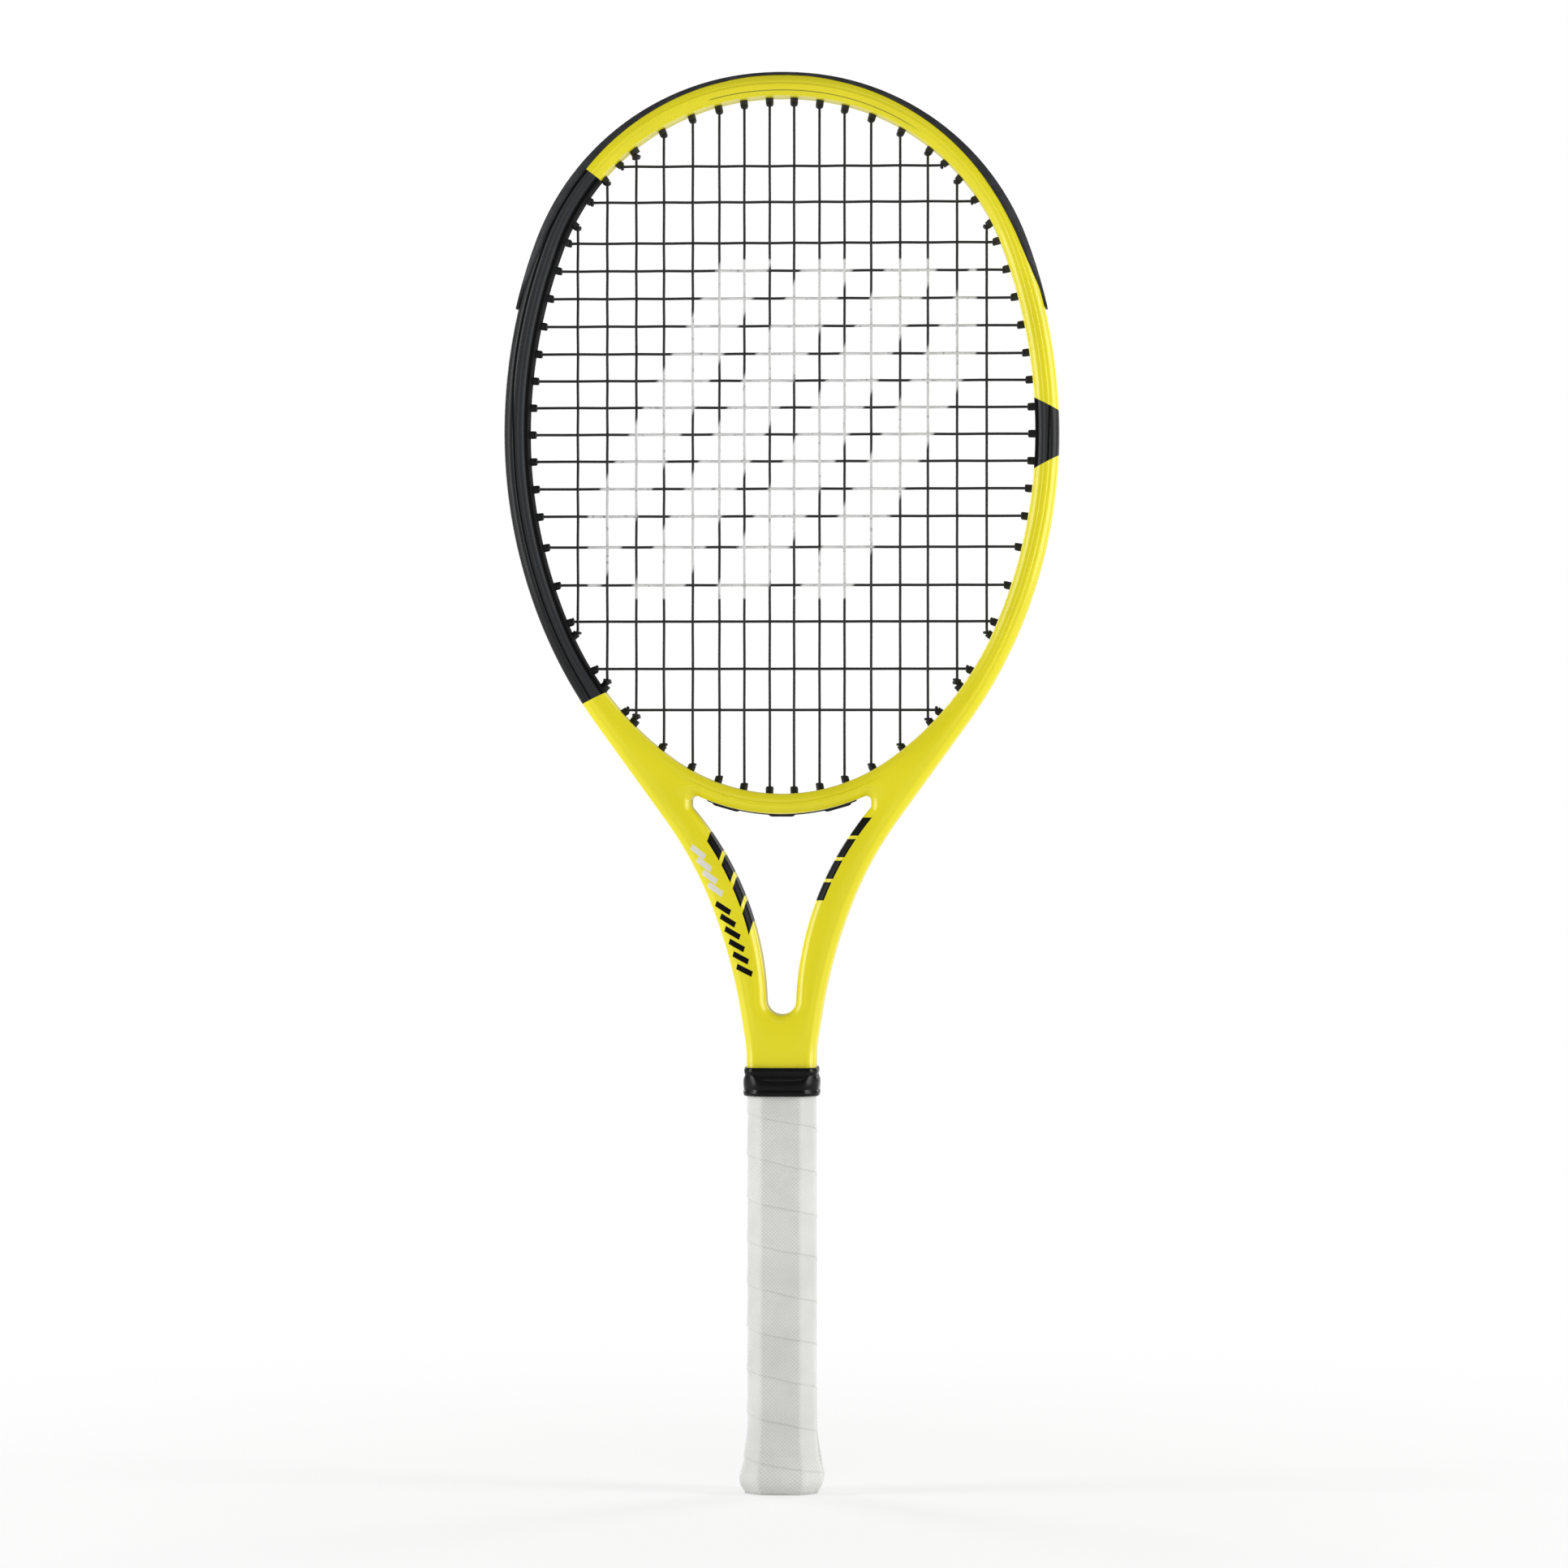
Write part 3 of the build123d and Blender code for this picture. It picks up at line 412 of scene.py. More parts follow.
def badge_material():
    """A glossy dark disc with one yellow ring and finely turned grooves."""
    s = Shader("badge_material", Coat_Weight=0.6, Coat_Roughness=0.05)
    flat = s.tree.nodes.new("ShaderNodeVectorMath")
    flat.operation = "MULTIPLY"
    flat.inputs[1].default_value = (1 / MM, 1 / MM, 0)
    s.put(flat.inputs[0], s.place)
    reach = s.tree.nodes.new("ShaderNodeVectorMath")
    reach.operation = "LENGTH"
    s.put(reach.inputs[0], flat.outputs[0])
    radius = reach.outputs["Value"]
    ring = s.window(radius, 7.4, 8.3)
    grooves = s.math("SINE", s.math("MULTIPLY", radius, 9.0))
    plate = s.mix(s.step(s.noise(0.8, 2), 0.3, 0.7), tone("#101114"), tone("#1D1F22"))
    s.set("Base Color", s.mix(ring, plate, tone("#E2D80A")))
    s.set("Roughness", s.step(ring, 0, 1, 0.25, 0.4))
    s.set("Normal", s.bump(grooves, 0.05, 0.3))
    return s.material


def steel_material():
    s = Shader("steel_material", Metallic=1.0)
    s.set("Base Color", s.mix(s.noise(1.5, 3), tone("#8C8E90"), tone("#B4B6B8")))
    s.set("Roughness", s.step(s.noise(0.3, 2), 0.3, 0.7, 0.22, 0.4))
    return s.material


def foam_material():
    s = Shader("foam_material")
    cells = s.tree.nodes.new("ShaderNodeTexVoronoi")
    s.put(cells.inputs["Vector"], s.place)
    cell_size = 0.6
    cells.inputs["Scale"].default_value = 1 / (cell_size * MM)
    depth = cells.outputs["Distance"]
    # Painted shade: the cells' hollows take the darker tone, the same depth that sinks them in the relief
    s.set("Base Color", s.mix(depth, tone("#B9B2A2"), tone("#D8D2C4")))
    s.set("Roughness", s.step(depth, 0.1, 0.6, 0.7, 0.9))
    s.set("Normal", s.bump(depth, 0.15, 0.5))
    return s.material


PAINT = frame_paint()
NYLON = moulded("nylon_material", "#08090A", "#101113", 0.42)
BUMPER = moulded("bumper_material", "#1E1F22", "#2C2D30", 0.5, 0.05)
RUBBER = moulded("rubber_material", "#020203", "#050507", 0.24, 0.006, 0.16)
CAP = moulded("cap_material", "#B9B9B5", "#C6C6C2", 0.45)
FINISH = moulded("finishing_tape_material", "#0A0B0C", "#121315", 0.35)
STRING = string_material()
GRIP = grip_material()

CARRIED = {
    "bumper_guard": BUMPER,
    "side_grommets_left": NYLON,
    "side_grommets_right": NYLON,
    "shoulder_grommets_left": NYLON,
    "shoulder_grommets_right": NYLON,
    "throat_grommets": NYLON,
    "main_string": STRING,
    "cross_string": STRING,
    "handle_pallet": foam_material(),
    "butt_cap": CAP,
    "butt_badge": badge_material(),
    "butt_cap_staples": steel_material(),
    "grip_tack": steel_material(),
    "grip_finishing_tape": FINISH,
}
for node_name, material in CARRIED.items():
    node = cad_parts[node_name]
    if not node.material_slots:
        node.data.materials.append(None)
    for material_slot in node.material_slots:
        material_slot.link = "OBJECT"
        material_slot.material = material


# ---- Mesh helpers --------------------------------------------------------------------------------
def piece(name, body, material, vertices, faces, replaced=()):
    """A mesh piece in millimetres, riding on a body and standing for the CAD nodes it replaces."""
    mesh = bpy.data.meshes.new(name)
    mesh.from_pydata([tuple(float(part) * MM for part in v) for v in vertices], [], faces)
    mesh.polygons.foreach_set("use_smooth", [True] * len(mesh.polygons))
    mesh.materials.append(material)
    made = bpy.data.objects.new(name, mesh)
    bpy.context.scene.collection.objects.link(made)
    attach(made, body)
    if replaced:
        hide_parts(*replaced)
    return made


def tidy(made):
    """Merges doubled points, drops faces without area and turns all faces outwards."""
    merge = 0.002
    mesh = made.data
    work = bmesh.new()
    work.from_mesh(mesh)
    bmesh.ops.remove_doubles(work, verts=work.verts, dist=merge * MM)
    bmesh.ops.dissolve_degenerate(work, edges=work.edges, dist=merge * MM / 2)
    bmesh.ops.recalc_face_normals(work, faces=work.faces)
    work.to_mesh(mesh)
    work.free()


def write_attribute(mesh, name, values):
    layer = mesh.attributes.new(name, "FLOAT", "POINT")
    layer.data.foreach_set("value", np.asarray(values, dtype=np.float32))


def bands_between(rings, around):
    """Faces between closed rings of equally many points, numbered ring after ring."""
    faces = []
    for ring in range(rings - 1):
        for i in range(around):
            j = (i + 1) % around
            a, b = ring * around, (ring + 1) * around
            faces.append((a + i, a + j, b + j, b + i))
    return faces


def band_back(rings, around):
    """Faces that join the last ring to the first, so that the rings go all the way round a section."""
    last = (rings - 1) * around
    return [(last + i, last + (i + 1) % around, (i + 1) % around, i) for i in range(around)]


# ---- Frame outlines ------------------------------------------------------------------------------
def quarter(half_width, half_height, shape):
    """Radius and turn of the three tangent arcs from an oval's end to its widest point."""
    end_radius, first_lean, second_lean = shape
    leans = [math.radians(lean) for lean in (0, first_lean, second_lean, 90)]
    sines, cosines = [math.sin(lean) for lean in leans], [math.cos(lean) for lean in leans]
    width_left = half_width - end_radius * sines[1]
    height_left = half_height - end_radius * (1 - cosines[1])
    middle_width, side_width = sines[2] - sines[1], sines[3] - sines[2]
    middle_height, side_height = cosines[1] - cosines[2], cosines[2] - cosines[3]
    scale = middle_width * side_height - side_width * middle_height
    middle = (width_left * side_height - side_width * height_left) / scale
    side = (middle_width * height_left - middle_height * width_left) / scale
    return [(end_radius, first_lean), (middle, second_lean - first_lean), (side, 90 - second_lean)]


def walk(start, heading, steps, spacing=1.6):
    """Points and headings along tangent arcs (radius, turn) and straight runs (length, 0)."""
    most_turn = 3.5
    x, z = start
    angle = math.radians(heading)
    line = [(x, z, angle)]
    for size, turn in steps:
        sweep = math.radians(turn)
        run = size * abs(sweep) if turn else size
        parts = max(1, math.ceil(run / spacing), math.ceil(abs(turn) / most_turn))
        hand = 1 if turn > 0 else -1
        for part in range(1, parts + 1):
            share = part / parts
            if turn:
                centre_x, centre_z = x - hand * size * math.sin(angle), z + hand * size * math.cos(angle)
                now = angle + sweep * share
                line.append((centre_x + hand * size * math.sin(now),
                             centre_z - hand * size * math.cos(now), now))
            else:
                line.append((x + size * share * math.cos(angle), z + size * share * math.sin(angle), angle))
        x, z, angle = line[-1]
    return line


def loop(line, side):
    """A closed loop from its right half: points, and the way into the solid from each."""
    right = [(x, z, side * math.sin(a), -side * math.cos(a)) for x, z, a in line]
    left = [(-x, z, -nx, nz) for x, z, nx, nz in reversed(right)]
    trimmed = [point for point in left if abs(point[0]) > 0.001]
    return np.array(right + trimmed)


def outer_line():
    """The frame's outside, from the middle of the top down the right side to the handle."""
    top = quarter(OUTER_HALF_WIDTH, FRAME_TOP_Z - WIDEST_Z, OUTER_TOP_ARCS)
    top = [(radius, -turn) for radius, turn in top]
    arcs = [*SIDE_ARCS, *SHAFT_ARCS, (SHAFT_FLARE_RUN, 0), SHAFT_FLARE_ARC]
    reached = walk((OUTER_HALF_WIDTH, WIDEST_Z), -90, arcs)[-1]
    lean = math.radians(-sum(turn for _, turn in SIDE_ARCS))
    run = (reached[0] - STEM_HALF_WIDTH) / math.sin(lean)
    arcs.insert(len(SIDE_ARCS), (run, 0))
    line = walk((0, FRAME_TOP_Z), 0, top + arcs)
    foot = line[-1][1] - STEM_FOOT_Z
    return line + walk(line[-1][:2], -90, [(foot, 0)])[1:]


def opening_line():
    """The head's opening, from the middle of its top down the right side to the middle of its bottom."""
    top = quarter(OPENING_HALF_WIDTH, OPENING_TOP_Z - WIDEST_Z, OPENING_TOP_ARCS)
    bottom = quarter(OPENING_HALF_WIDTH, WIDEST_Z - OPENING_BOTTOM_Z, OPENING_BOTTOM_ARCS)
    return walk((0, OPENING_TOP_Z), 0, [(radius, -turn) for radius, turn in top + bottom[::-1]])


def throat_line():
    """Up the right side of the throat, round its corner and back to the middle of the bridge."""
    foot_turn = THROAT_FOOT_ARC[1]
    foot = walk((0, THROAT_BOTTOM_Z), 0, [THROAT_FOOT_ARC])[-1]
    centre_x = foot[0] + THROAT_SIDE_RADIUS * math.sin(foot[2])
    centre_z = foot[1] - THROAT_SIDE_RADIUS * math.cos(foot[2])
    corner_x = THROAT_HALF_WIDTH - THROAT_CORNER_RADIUS
    low_reach = THROAT_SIDE_RADIUS + THROAT_CORNER_RADIUS
    low_z = centre_z + math.sqrt(low_reach**2 - (centre_x - corner_x) ** 2)
    high_reach = BRIDGE_RADIUS + THROAT_CORNER_RADIUS
    high_z = BRIDGE_LOW_Z + BRIDGE_RADIUS - math.sqrt(high_reach**2 - corner_x**2)
    low_heading = math.degrees(math.atan2(centre_x - corner_x, low_z - centre_z))
    bridge_turn = math.degrees(math.asin(corner_x / high_reach))
    steps = [THROAT_FOOT_ARC, (THROAT_SIDE_RADIUS, low_heading - foot_turn),
             (THROAT_CORNER_RADIUS, 90 - low_heading), (high_z - low_z, 0),
             (THROAT_CORNER_RADIUS, 90 + bridge_turn), (BRIDGE_RADIUS, -bridge_turn)]
    return walk((0, THROAT_BOTTOM_Z), 0, steps, spacing=1.2)


# ---- Painted frame: head, bridge and shafts under one coat of paint ------------------------------
# Inset from the outline, and distance from the string plane, of the rounded edge from face to wall
EDGE = ((4.3, 11.9), (3.8, 11.8), (3.3, 11.63), (2.8, 11.37), (2.35, 11.04), (1.15, 9.95), (0.72, 9.5),
        (0.42, 9.05), (0.2, 8.5), (0.06, 7.8), (0.0, 7.0))
CROWN = 0.6  # how far the middle of the tube's face stands over its edges
CROWN_STEPS = (0.93, 0.75, 0.55, 0.36, 0.18, 0.06)  # shares of the way from edge to middle
LEAST_HALF_TUBE, MOST_HALF_TUBE = 4.5, 17.0
FAR = 20.0  # written where a point belongs to another outline


def smoothstep(value, low, high):
    """From nothing to one, smoothly, while the value goes from low to high."""
    share = np.clip((value - low) / (high - low), 0, 1)
    return share * share * (3 - 2 * share)


def half_widths(loops):
    """For each outline point, the radius of the largest circle that fits inside the frame there."""
    every = np.concatenate(list(loops.values()))[:, :2]
    sizes = {}
    for name, points in loops.items():
        apart = every[None] - points[:, None, :2]
        into = (apart * points[:, None, 2:]).sum(-1)
        radius = np.where(into > 0.01, (apart**2).sum(-1) / np.maximum(2 * into, 0.02), 99.0).min(1)
        radius = np.clip(radius, LEAST_HALF_TUBE, MOST_HALF_TUBE)
        lowest = np.min([np.roll(radius, shift) for shift in range(-3, 4)], axis=0)
        window = np.hanning(13)[1:-1] / np.hanning(13).sum()
        sizes[name] = sum(w * np.roll(lowest, i - 5) for i, w in enumerate(window))
    return sizes


def wall(name, points, half_width):
    """Rings (inset, depth) from the front's middle to the back's middle of one outline."""
    depth = np.zeros(len(points))
    if name == "outer":
        depth = GROOVE_DEPTH * smoothstep(points[:, 1], GROOVE_END_Z - 1.0, GROOVE_END_Z + 0.6)
    if name == "throat":
        on_bridge = points[:, 1] > BRIDGE_LOW_Z - 1
        run_out = 0.6
        past_end = smoothstep(np.abs(points[:, 0]), BRIDGE_GROOVE_HALF_LENGTH - run_out,
                              BRIDGE_GROOVE_HALF_LENGTH + run_out)
        depth = BRIDGE_GROOVE_DEPTH * np.where(on_bridge, 1 - past_end, 0)
    edge_inset, edge_y = EDGE[0]
    rings = []
    for share in CROWN_STEPS:
        inset = edge_inset + share * np.maximum(half_width - edge_inset, 0.3)
        rings.append((inset, edge_y + CROWN * (1 - (1 - share) ** 2)))
    rings += [(np.full(len(points), inset), y) for inset, y in EDGE]
    rings += [(np.zeros(len(points)), GROOVE_HALF_WIDTH + 0.5), (0.06 * depth, GROOVE_HALF_WIDTH + 0.1)]
    rings += [(0.2 * depth, GROOVE_HALF_WIDTH), (depth, GROOVE_HALF_WIDTH - 0.05), (depth, 1.2)]
    return rings + [(inset, -y) for inset, y in reversed(rings)]


def fill_faces(made, rims):
    """Closes the front and the back, each between its three rims."""
    work = bmesh.new()
    work.from_mesh(made.data)
    work.verts.ensure_lookup_table()
    for side in rims.values():
        ends = [pair for rim in side for pair in zip(rim, rim[1:] + rim[:1])]
        edges = [work.edges.get((work.verts[a], work.verts[b])) for a, b in ends]
        filled = bmesh.ops.triangle_fill(work, use_beauty=True, edges=edges)
        for face in filled["geom"]:
            if isinstance(face, bmesh.types.BMFace):
                face.smooth = True
    bmesh.ops.recalc_face_normals(work, faces=work.faces)
    work.to_mesh(made.data)
    work.free()


def painted_frame():
    """The tube and the bridge, as one skin between the three outlines."""
    loops = {"outer": loop(outer_line(), 1), "opening": loop(opening_line(), -1),
             "throat": loop(throat_line(), 1)}
    widths = half_widths(loops)
    vertices, faces = [], []
    insets = {name: [] for name in loops}
    rims = {"front": [], "back": []}
    for name, points in loops.items():
        rings = wall(name, points, widths[name])
        start, around = len(vertices), len(points)
        for inset, y in rings:
            flat = points[:, :2] + points[:, 2:] * inset[:, None]
            vertices += [(x, -y, z) for x, z in flat]
            for other in loops:
                insets[other] += list(inset) if other == name else [FAR] * around
        faces += [tuple(start + i for i in face) for face in bands_between(len(rings), around)]
        last = start + (len(rings) - 1) * around
        rims["front"].append([start + i for i in range(around)])
        rims["back"].append([last + i for i in range(around)])
    made = piece("painted_frame", "racket", PAINT, vertices, faces,
                 replaced=("frame_tube", "throat_bridge"))
    for name, values in insets.items():
        write_attribute(made.data, "from_" + name, values)
    fill_faces(made, rims)


# ---- Grip tape, wrapped from the butt upwards ----------------------------------------------------
def reach_of_octagon(angles, half_width, half_depth, bevel, softness):
    """Distance from the axis to an octagon with soft corners, at each angle."""
    corner = (half_width + half_depth - bevel) / math.sqrt(2)
    faces = np.stack([half_width, corner, half_depth, corner] * 2, axis=-1)
    normals = np.arange(8) * math.pi / 4
    lean = np.maximum(np.cos(angles[..., None] - normals), 1e-6) / faces
    most = lean.max(-1)
    return 1 / (most * ((lean / most[..., None]) ** softness).sum(-1) ** (1 / softness))


def grip_swell(z):
    """How far the tape stands out over the butt cap, as a smooth curve."""
    heights = np.array([height for height, _ in CAP_SWELL])
    swells = np.array([swell for _, swell in CAP_SWELL])
    fine = np.linspace(-6, 60, 133)
    line = np.interp(fine, heights, swells)
    kernel = np.hanning(11)
    soft = np.convolve(np.pad(line, 5, mode="edge"), kernel / kernel.sum(), mode="valid")
    return np.interp(z, fine, soft)


# Places across one turn of the tape, from a seam upwards
WRAP_ROWS = (0.0, 0.12, 0.25, 0.4, 0.65, 1.2, 2.2, 3.2, 4.2, 5.4, 7.0, 9.0, 11.0, 13.5, 16.0, 18.2,
             19.7, 20.4, 20.68)
# Distance from the seam, and how far the tape stands out there because it laps over the turn below
LAP = ((0.0, -0.20), (0.12, -0.10), (0.25, 0.10), (0.4, 0.21), (0.65, 0.25), (2.8, 0.21), (6.5, -0.02),
       (14.0, -0.14), (SEAM_PITCH, -0.20))
SEAM_HALF_WIDTH = 0.35
FOOT_ROUNDING = 1.25
SETTLED = 0.10  # how far the pulled tape sinks in


def seam_height(turn, share):
    """Where a seam runs, with the small waver of a hand wrap; share is the part of a turn gone by."""
    along = 2 * math.pi * (share - turn)
    waver = 0.28 * np.sin(1.37 * along) + 0.17 * np.sin(3.61 * along + 1)
    return SEAM_Z + SEAM_PITCH * (turn + 0.75 - share) + waver


def grip_surface(angle, z, grow, softness):
    """Points of the grip's octagon, grown by some amount, at each angle and height."""
    half_width, half_depth, bevel = GRIP_OUTER
    reach = reach_of_octagon(angle[None, :] + 0 * z, half_width + grow, half_depth + grow,
                             bevel + grow * (2 - math.sqrt(2)), softness)
    return np.stack([reach * np.cos(angle), reach * np.sin(angle), z], axis=-1).reshape(-1, 3)


def unwrap(made, around):
    """A UV map in diamonds of the embossing, round the grip and up it."""
    mesh = made.data
    cells = round(GRIP_PERIMETER / HATCH)
    uv = mesh.uv_layers.new(name="wrap")
    heights = np.array([vertex.co.z / MM for vertex in mesh.vertices])
    for polygon in mesh.polygons:
        columns = [mesh.loops[i].vertex_index % around for i in polygon.loop_indices]
        wraps = max(columns) - min(columns) > around / 2
        for i, column in zip(polygon.loop_indices, columns):
            turned = column / around + (1 if wraps and column < around / 2 else 0)
            uv.data[i].uv = (turned * cells, heights[mesh.loops[i].vertex_index] / HATCH)


def grip_tape():
    """One long tape in a rising wrap, every turn lapped over the one below."""
    around = 144
    turns = int((TAPE_TOP_Z - TAPE_FOOT_Z) / SEAM_PITCH) + 3
    share = np.arange(around) / around
    angle = share * 2 * math.pi
    rows = [(turn, past) for turn in range(1 - turns, 2) for past in WRAP_ROWS]
    turn, past_seam = (np.array(column)[:, None] + 0 * share for column in zip(*rows))
    low, high = seam_height(turn, share), seam_height(turn + 1, share)
    z = np.clip(low + (high - low) * past_seam / SEAM_PITCH, TAPE_FOOT_Z, TAPE_TOP_Z)
    clear_of_ends = smoothstep(z, 1.0, 5.0) * (1 - smoothstep(z, 184.0, 190.0))
    stand = np.interp(past_seam, *zip(*LAP)) * clear_of_ends
    at_foot = 1 - smoothstep(z, TAPE_FOOT_Z, 5.0)
    outer = grip_surface(angle, z, grip_swell(z) + stand - SETTLED - FOOT_ROUNDING * at_foot**2, 34)
    inner_z = np.linspace(TAPE_TOP_Z, TAPE_FOOT_Z, 40)[:, None] + 0 * share[None, :]
    inner = grip_surface(angle, inner_z, grip_swell(inner_z) - TAPE, 60)
    rings = len(rows) + len(inner_z)
    made = piece("wrapped_grip_tape", "racket", GRIP, np.concatenate([outer, inner]),
                 bands_between(rings, around) + band_back(rings, around), replaced=("grip_tape",))
    to_seam = np.minimum(past_seam, SEAM_PITCH - past_seam)
    seam = np.exp(-((to_seam / SEAM_HALF_WIDTH) ** 2)) * clear_of_ends
    write_attribute(made.data, "seam", np.concatenate([seam.ravel(), np.zeros(len(inner))]))
    unwrap(made, around)
    tidy(made)


# ---- Rubber collar -------------------------------------------------------------------------------
# Height, half width, half depth, bevel and how sharp the corners are
COLLAR_OUTSIDE = (
    (191.75, 17.8, 15.95, 7.3, 16), (191.85, 18.0, 16.15, 7.4, 16), (192.1, 18.25, 16.38, 7.5, 16),
    (192.5, 18.4, 16.52, 7.5, 16), (193.3, 18.45, 16.57, 7.5, 16), (194.0, 18.43, 16.55, 7.5, 16),
    (194.5, 18.33, 16.45, 7.5, 16), (194.8, 18.24, 16.36, 7.5, 16), (195.1, 18.27, 16.38, 7.5, 16),
    (195.8, 18.38, 16.46, 7.4, 16), (197.0, 18.46, 16.5, 7.3, 16), (198.2, 18.46, 16.42, 7.1, 16),
    (199.2, 18.4, 16.2, 6.8, 17), (200.0, 18.27, 15.85, 6.3, 18), (200.6, 18.08, 15.4, 5.7, 20),
    (201.1, 17.86, 14.9, 5.1, 22), (201.5, 17.68, 14.5, 4.6, 25), (201.85, 17.56, 14.24, 4.2, 28),
    (202.15, 17.52, 14.16, 4.0, 30), (202.4, 17.6, 14.2, 4.0, 30), (202.65, 17.66, 14.34, 4.1, 30),
    (202.95, 17.78, 14.46, 4.2, 30), (203.5, 17.84, 14.52, 4.2, 30), (204.3, 17.84, 14.52, 4.2, 30),
    (204.9, 17.8, 14.46, 4.2, 30), (205.25, 17.72, 14.36, 4.2, 30), (205.43, 17.6, 14.24, 4.1, 32),
    (205.5, 17.44, 14.06, 4.0, 40),
)


def collar_inside():
    """The levels of the bore: a rounded mouth, the stem's bore, the ledge and the skirt over the grip."""
    corner_growth = 2 - math.sqrt(2)
    skirt_room = 0.25 + COLLAR_GAP
    width, depth = STEM_HALF_WIDTH + COLLAR_GAP, STEM_HALF_DEPTH + COLLAR_GAP
    bevel = STEM_BEVEL + COLLAR_GAP * corner_growth
    skirt = [size + skirt_room for size in GRIP_OUTER[:2]] + [GRIP_OUTER[2] + skirt_room * corner_growth]
    return [
        (COLLAR_TOP_Z, width + 0.35, depth + 0.35, bevel + 0.2, 90),
        (COLLAR_TOP_Z - 0.2, width + 0.1, depth + 0.1, bevel + 0.05, 150),
        (COLLAR_TOP_Z - 0.6, width, depth, bevel, 200),
        (COLLAR_LEDGE_Z + 0.1, width, depth, bevel, 200),
        (COLLAR_LEDGE_Z, width + 0.1, depth + 0.1, bevel, 200),
        (COLLAR_LEDGE_Z, *skirt, 160),
        (COLLAR_FOOT_Z + 0.25, *skirt, 160),
        (COLLAR_FOOT_Z, skirt[0] + 0.12, skirt[1] + 0.12, skirt[2] + 0.05, 90),
    ]


def collar():
    """The soft collar, from its foot up the outside, over the top and down the inside."""
    around = 192
    angle = np.arange(around) / around * 2 * math.pi
    levels = [*COLLAR_OUTSIDE, *collar_inside()]
    vertices = []
    for z, half_width, half_depth, bevel, softness in levels:
        sizes = [angle * 0 + size for size in (half_width, half_depth, bevel)]
        reach = reach_of_octagon(angle, *sizes, softness)
        vertices += [(r * math.cos(a), r * math.sin(a), z) for r, a in zip(reach, angle)]
    faces = bands_between(len(levels), around) + band_back(len(levels), around)
    made = piece("rubber_collar", "collar", RUBBER, vertices, faces,
                 replaced=("grip_collar",))
    tidy(made)


# ---- Head guard's edges and the grommets' noses --------------------------------------------------
# Shares of the way from the guard's outside to the lip's edge
LIP_SHARES = (0.0, 0.03, 0.08, 0.15, 0.26, 0.4, 0.58, 0.76, 0.9, 1.0)
LIP_THICKNESS = 0.3


def lip_section(reach, outside):
    """One section of a lip that reaches over the face: inset from the outline, distance from the strings."""
    insets, depths = zip(*reversed(EDGE))
    face = float(np.interp(reach, insets, depths))
    top = max(face + LIP_THICKNESS, GUARD_HALF_DEPTH + 0.05)
    ring = [(outside + (reach - outside) * share,
             GUARD_HALF_DEPTH + (top - GUARD_HALF_DEPTH) * (1 - (1 - share) ** 1.8)) for share in LIP_SHARES]
    ring += [(reach + 0.07, top - 0.1), (reach + 0.08, face - 0.1)]
    return ring + [(0.0, min(face, GUARD_HALF_DEPTH) - 0.4), (outside + 0.08, GUARD_HALF_DEPTH - 0.6)]


def guard_lips():
    """The guard's thin edges, lapped over the frame's rounded edge in front and behind."""
    lowest = GUARD_LIP[0][0]
    right = [(x, z, math.sin(a), -math.cos(a)) for x, z, a in outer_line() if z > lowest]
    line = [(-x, z, -nx, nz) for x, z, nx, nz in reversed(right)] + right[1:]
    heights, reaches = zip(*GUARD_LIP)
    outside = -GUARD_WALL + 0.02
    vertices, faces = [], []
    for facing in (-1, 1):
        start = len(vertices)
        for x, z, nx, nz in line:
            ring = lip_section(float(np.interp(z, heights, reaches)), outside)
            vertices += [(x + nx * inset, facing * y, z + nz * inset) for inset, y in ring]
        around = len(ring)
        last = start + (len(line) - 1) * around
        faces += [tuple(start + i for i in band) for band in bands_between(len(line), around)]
        faces += [tuple(range(start, start + around)), tuple(range(last, last + around))]
    tidy(piece("guard_lips", "racket", BUMPER, vertices, faces))


# Run inwards from the string's bend, and radius: the nose's root in the barrel
NOSE_ROOT = ((-0.9, 0.7), (-0.9, 1.45), (-0.55, 1.82), (0.0, 1.87))
# The same beyond the bend, with the run as a share of the nose's length
NOSE_TIP = ((0.35, 1.8), (0.65, 1.6), (0.86, 1.28), (0.98, 0.95), (1.0, 0.7))
NOSE_LENGTHS = {"top": 1.3, "bottom": 0.5, "cross": 0.7}
NOSE_WAYS = {"top": (0, -1), "bottom": (0, 1), "cross": (-1, 0)}


def string_bends():
    """Where the strings bend towards their holes, on the right half: kind, number, x and z."""
    line = np.array([(x + BEND_INSIDE * math.sin(a), z - BEND_INSIDE * math.cos(a))
                     for x, z, a in opening_line()])
    widest = int(line[:, 0].argmax())
    top, bottom = line[: widest + 1], line[widest:][::-1]
    bends = [("top", i, x, np.interp(x, *top.T)) for i, x in enumerate(MAIN_OFFSETS)]
    bends += [("bottom", i, x, np.interp(x, *bottom.T)) for i, x in enumerate(MAIN_OFFSETS)]
    upwards = line[::-1]
    for row in range(len(CROSS_GAPS) + 1):
        z = TOP_CROSS_Z - sum(CROSS_GAPS[:row])
        bends.append(("cross", row, np.interp(z, upwards[:, 1], upwards[:, 0]), z))
    return bends


